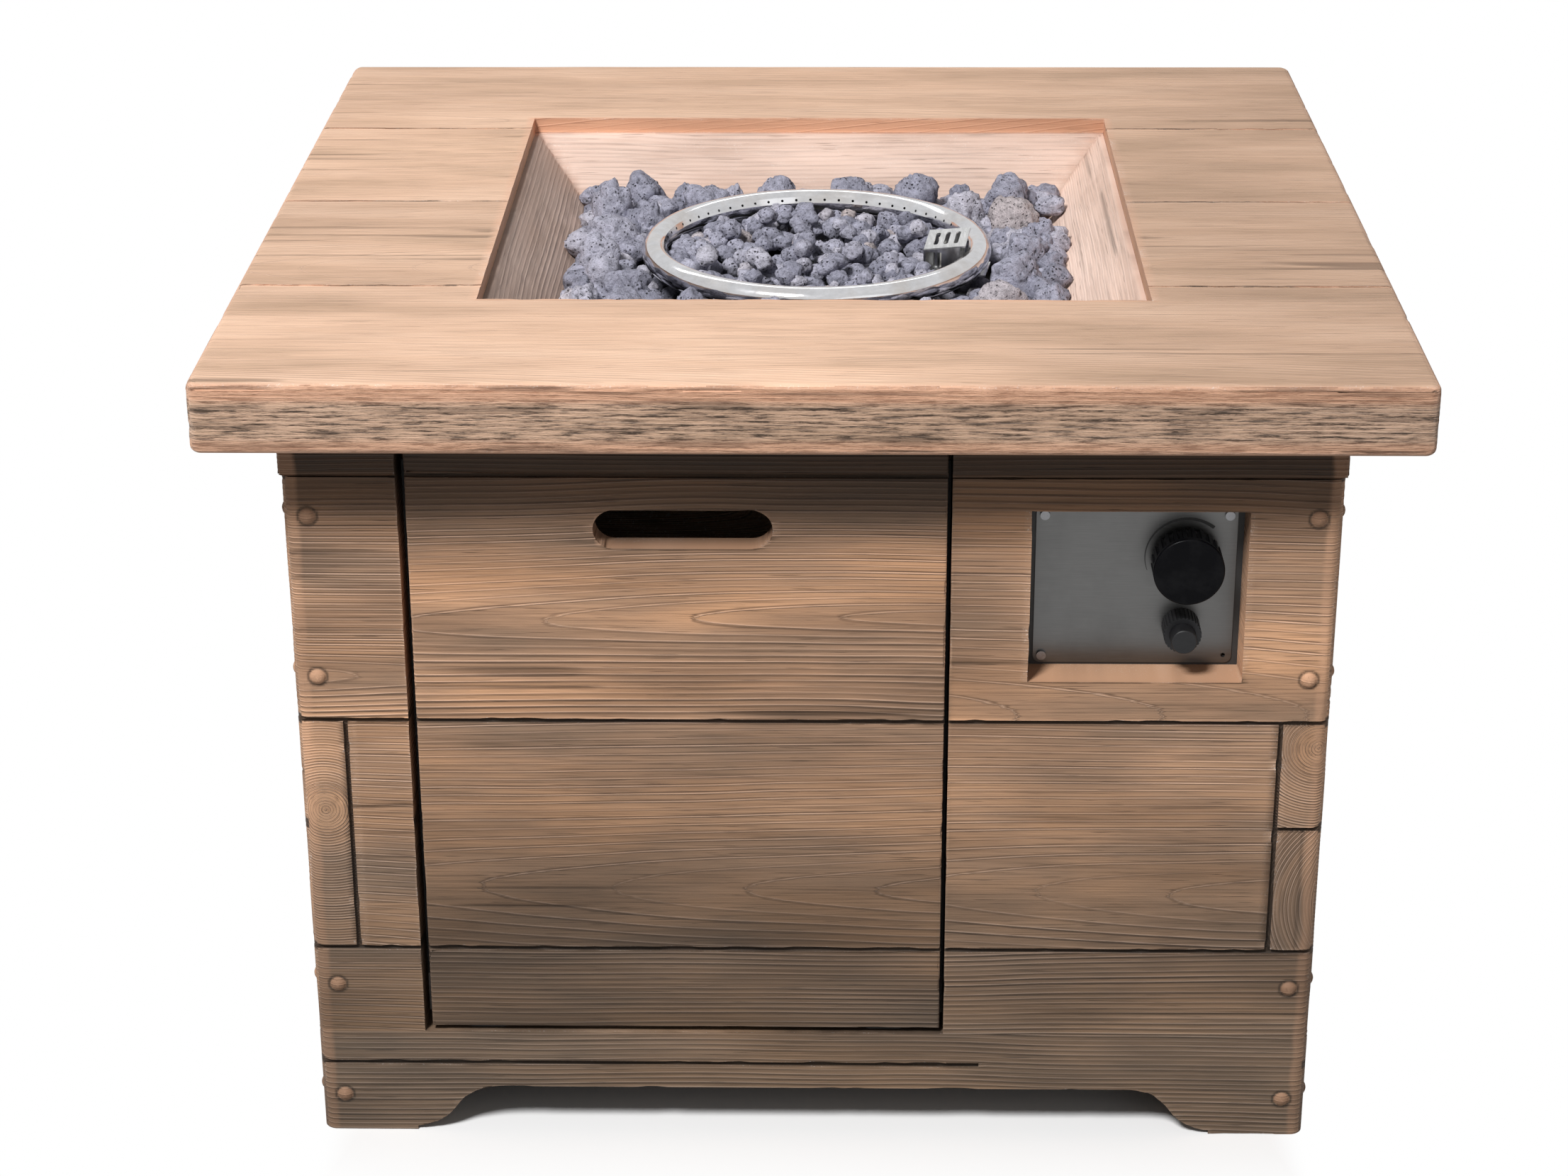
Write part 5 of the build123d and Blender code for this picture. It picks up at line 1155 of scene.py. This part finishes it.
# Dial mark: a thin wedge of an arc round the knob, wide at the high end
corners = []
for step in range(mark_steps + 1):
    share = step / mark_steps
    angle = math.radians(dial_start - dial_sweep * share)
    for reach in (dial_radius, dial_radius + mark_width + mark_growth * share):
        x = dial_place[0] + reach * math.cos(angle)
        z = dial_place[2] + reach * math.sin(angle)
        corners.append((x, dial_place[1] - mark_lift, z))
faces = [(2 * step, 2 * step + 1, 2 * step + 3, 2 * step + 2) for step in range(mark_steps)]
data = bpy.data.meshes.new("dial_marks")
data.from_pydata(corners, [], faces)
data.materials.append(plain_material("mark_paint", (0.012, 0.012, 0.012), 0.5, 1500))
piece = linked("dial_marks", data)
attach(piece, "table")

# Finishes of the solids that stay as they are: name, colour, roughness, grain, other settings, nodes
metals = (
    ("ring_steel", (0.74, 0.74, 0.76), 0.11, (60, 60, 160), {"tint": (0.58, 0.5, 0.42)},
     ("burner_ring", "ring_legs", "burner_inlet")),
    ("hood_steel", (0.7, 0.7, 0.7), 0.2, (420, 70, 70), {},
     ("pilot_plate", "pilot_shield", "thermocouple")),
    # painted shade: the plate's steel is darkened for the shade of its recess
    ("plate_steel", (0.138, 0.137, 0.135), 0.34, (40, 40, 2600), {"bump_depth": 0.00004},
     ("control_plate",)),
    # painted shade: the door stops and their screws are black so that the gap beside the door reads dark
    ("black_zinc", (0.02, 0.02, 0.02), 0.6, 300, {"metallic": 0.0}, ("door_stops", "stop_screws")),
    ("dull_zinc", (0.24, 0.24, 0.25), 0.3, 300, {}, ("plate_screws",)),
    ("zinc_steel", (0.5, 0.5, 0.52), 0.34, 300, {},
     ("surround_screws", "corner_angles", "corner_screws", "top_angles", "top_angle_screws",
      "pan_screws", "bracket_screws", "valve_stem")),
    ("machined_brass", (0.72, 0.55, 0.26), 0.28, (260, 260, 700), {},
     ("inlet_locknut", "gas_jet", "flare_nuts", "valve_nut", "valve_plug", "gas_inlet_fitting",
      "valve_outlet")),
    ("drawn_copper", (0.72, 0.4, 0.26), 0.3, (90, 90, 500), {}, ("feed_tube",)),
    ("die_cast", (0.6, 0.6, 0.61), 0.45, 500, {}, ("air_mixer", "valve_body")),
    ("nickel", (0.7, 0.69, 0.66), 0.18, 400, {}, ("door_magnets",)),
    ("black_sheet", (0.03, 0.03, 0.03), 0.55, 200, {"metallic": 0.0}, ("burner_pan", "control_bracket")),
)
mouldings = (
    ("knob_plastic", (0.002, 0.002, 0.0028), 0.34, 1800, {"shine": 0.06}, ("control_knob",)),
    ("black_plastic", (0.008, 0.008, 0.009), 0.42, 1600, {"shine": 0.3},
     ("igniter_body", "igniter_nut", "igniter_collar", "igniter_button")),
    ("glide_rubber", (0.03, 0.03, 0.03), 0.7, 1200, {}, ("door_glides",)),
    ("electrode_ceramic", (0.78, 0.75, 0.7), 0.55, 900, {}, ("spark_electrode",)),
    ("battery_sleeve", (0.07, 0.07, 0.08), 0.35, 900, {}, ("igniter_battery",)),
)
for maker, rows in ((metal_material, metals), (plain_material, mouldings)):
    for name, colour, rough, grain, settings, nodes in rows:
        finish = maker(name, colour, rough, grain, **settings)
        for node in nodes:
            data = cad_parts[node].data
            data.materials.clear()
            data.materials.append(finish)

# Camera as the photograph was taken
lens = bpy.data.cameras.new("photo_camera")
lens.sensor_width = sensor_width
lens.lens = focal_pixels * sensor_width / image_width
lens.clip_start = near_clip
camera = linked("photo_camera", lens)
camera.matrix_world = (
    Matrix.Translation(camera_place)
    @ Matrix.Rotation(math.radians(-camera_yaw), 4, "Z")
    @ Matrix.Rotation(math.radians(90 - camera_pitch), 4, "X")
    @ Matrix.Rotation(math.radians(camera_roll), 4, "Z")
)
bpy.context.scene.camera = camera

# Lamps, floor and background
for name, (direction, distance, size, watts) in lamps.items():
    light = bpy.data.lights.new(name, "AREA")
    light.shape = "ELLIPSE"
    light.size, light.size_y = size
    light.energy = watts
    lamp = linked(name, light)
    towards = Vector(direction).normalized()
    lamp.location = Vector(lamp_aim) + towards * distance
    lamp.rotation_euler = towards.to_track_quat("Z", "Y").to_euler()


def floor_material():
    """Pale floor with the shadow close to the base, and white further out, as the backdrop is."""
    made, tree, surface = new_material("floor_paint")
    path = put(tree, "LightPath")
    seen = maths(tree, "MAXIMUM", path.outputs["Is Camera Ray"], path.outputs["Is Glossy Ray"])
    paint = blend(tree, seen, rgba((floor_bounce,) * 3), rgba((floor_white,) * 3))
    feed(tree, surface, {"Base Color": paint, "Roughness": 1.0, "Specular IOR Level": 0.0})
    apart = put(tree, "SeparateXYZ", {0: object_place(tree)})
    wide = maths(tree, "ABSOLUTE", apart.outputs[0])
    deep = maths(tree, "ABSOLUTE", apart.outputs[1])
    beyond_side = eased(tree, wide, base_half - shadow_side, base_half)
    beyond_front = eased(tree, deep, base_half, base_half + shadow_reach)
    spread = maths(tree, "MAXIMUM", beyond_side, beyond_front)
    white = put(tree, "Emission", {"Color": (1, 1, 1, 1), "Strength": 1.0}).outputs[0]
    inputs = {0: times(tree, seen, spread), 1: surface.outputs[0], 2: white}
    mixed = put(tree, "MixShader", inputs).outputs[0]
    tree.links.new(mixed, tree.nodes["Material Output"].inputs["Surface"])
    return made


ground = bpy.data.meshes.new("floor")
corners = [(x * floor_half, y * floor_half, 0) for x, y in ((-1, -1), (1, -1), (1, 1), (-1, 1))]
ground.from_pydata(corners, [], [(0, 1, 2, 3)])
ground.materials.append(floor_material())
floor = linked("floor", ground)

world = bpy.data.worlds.new("studio")
world.use_nodes = True
sky = world.node_tree
path = put(sky, "LightPath")
level = added(sky, path.outputs["Is Camera Ray"], 1 - world_level, world_level)
level = added(sky, path.outputs["Is Glossy Ray"], mirror_level - world_level, level)
feed(sky, sky.nodes["Background"], {"Strength": level, "Color": (1, 1, 1, 1)})
bpy.context.scene.world = world
bpy.context.scene.view_settings.view_transform = "Standard"
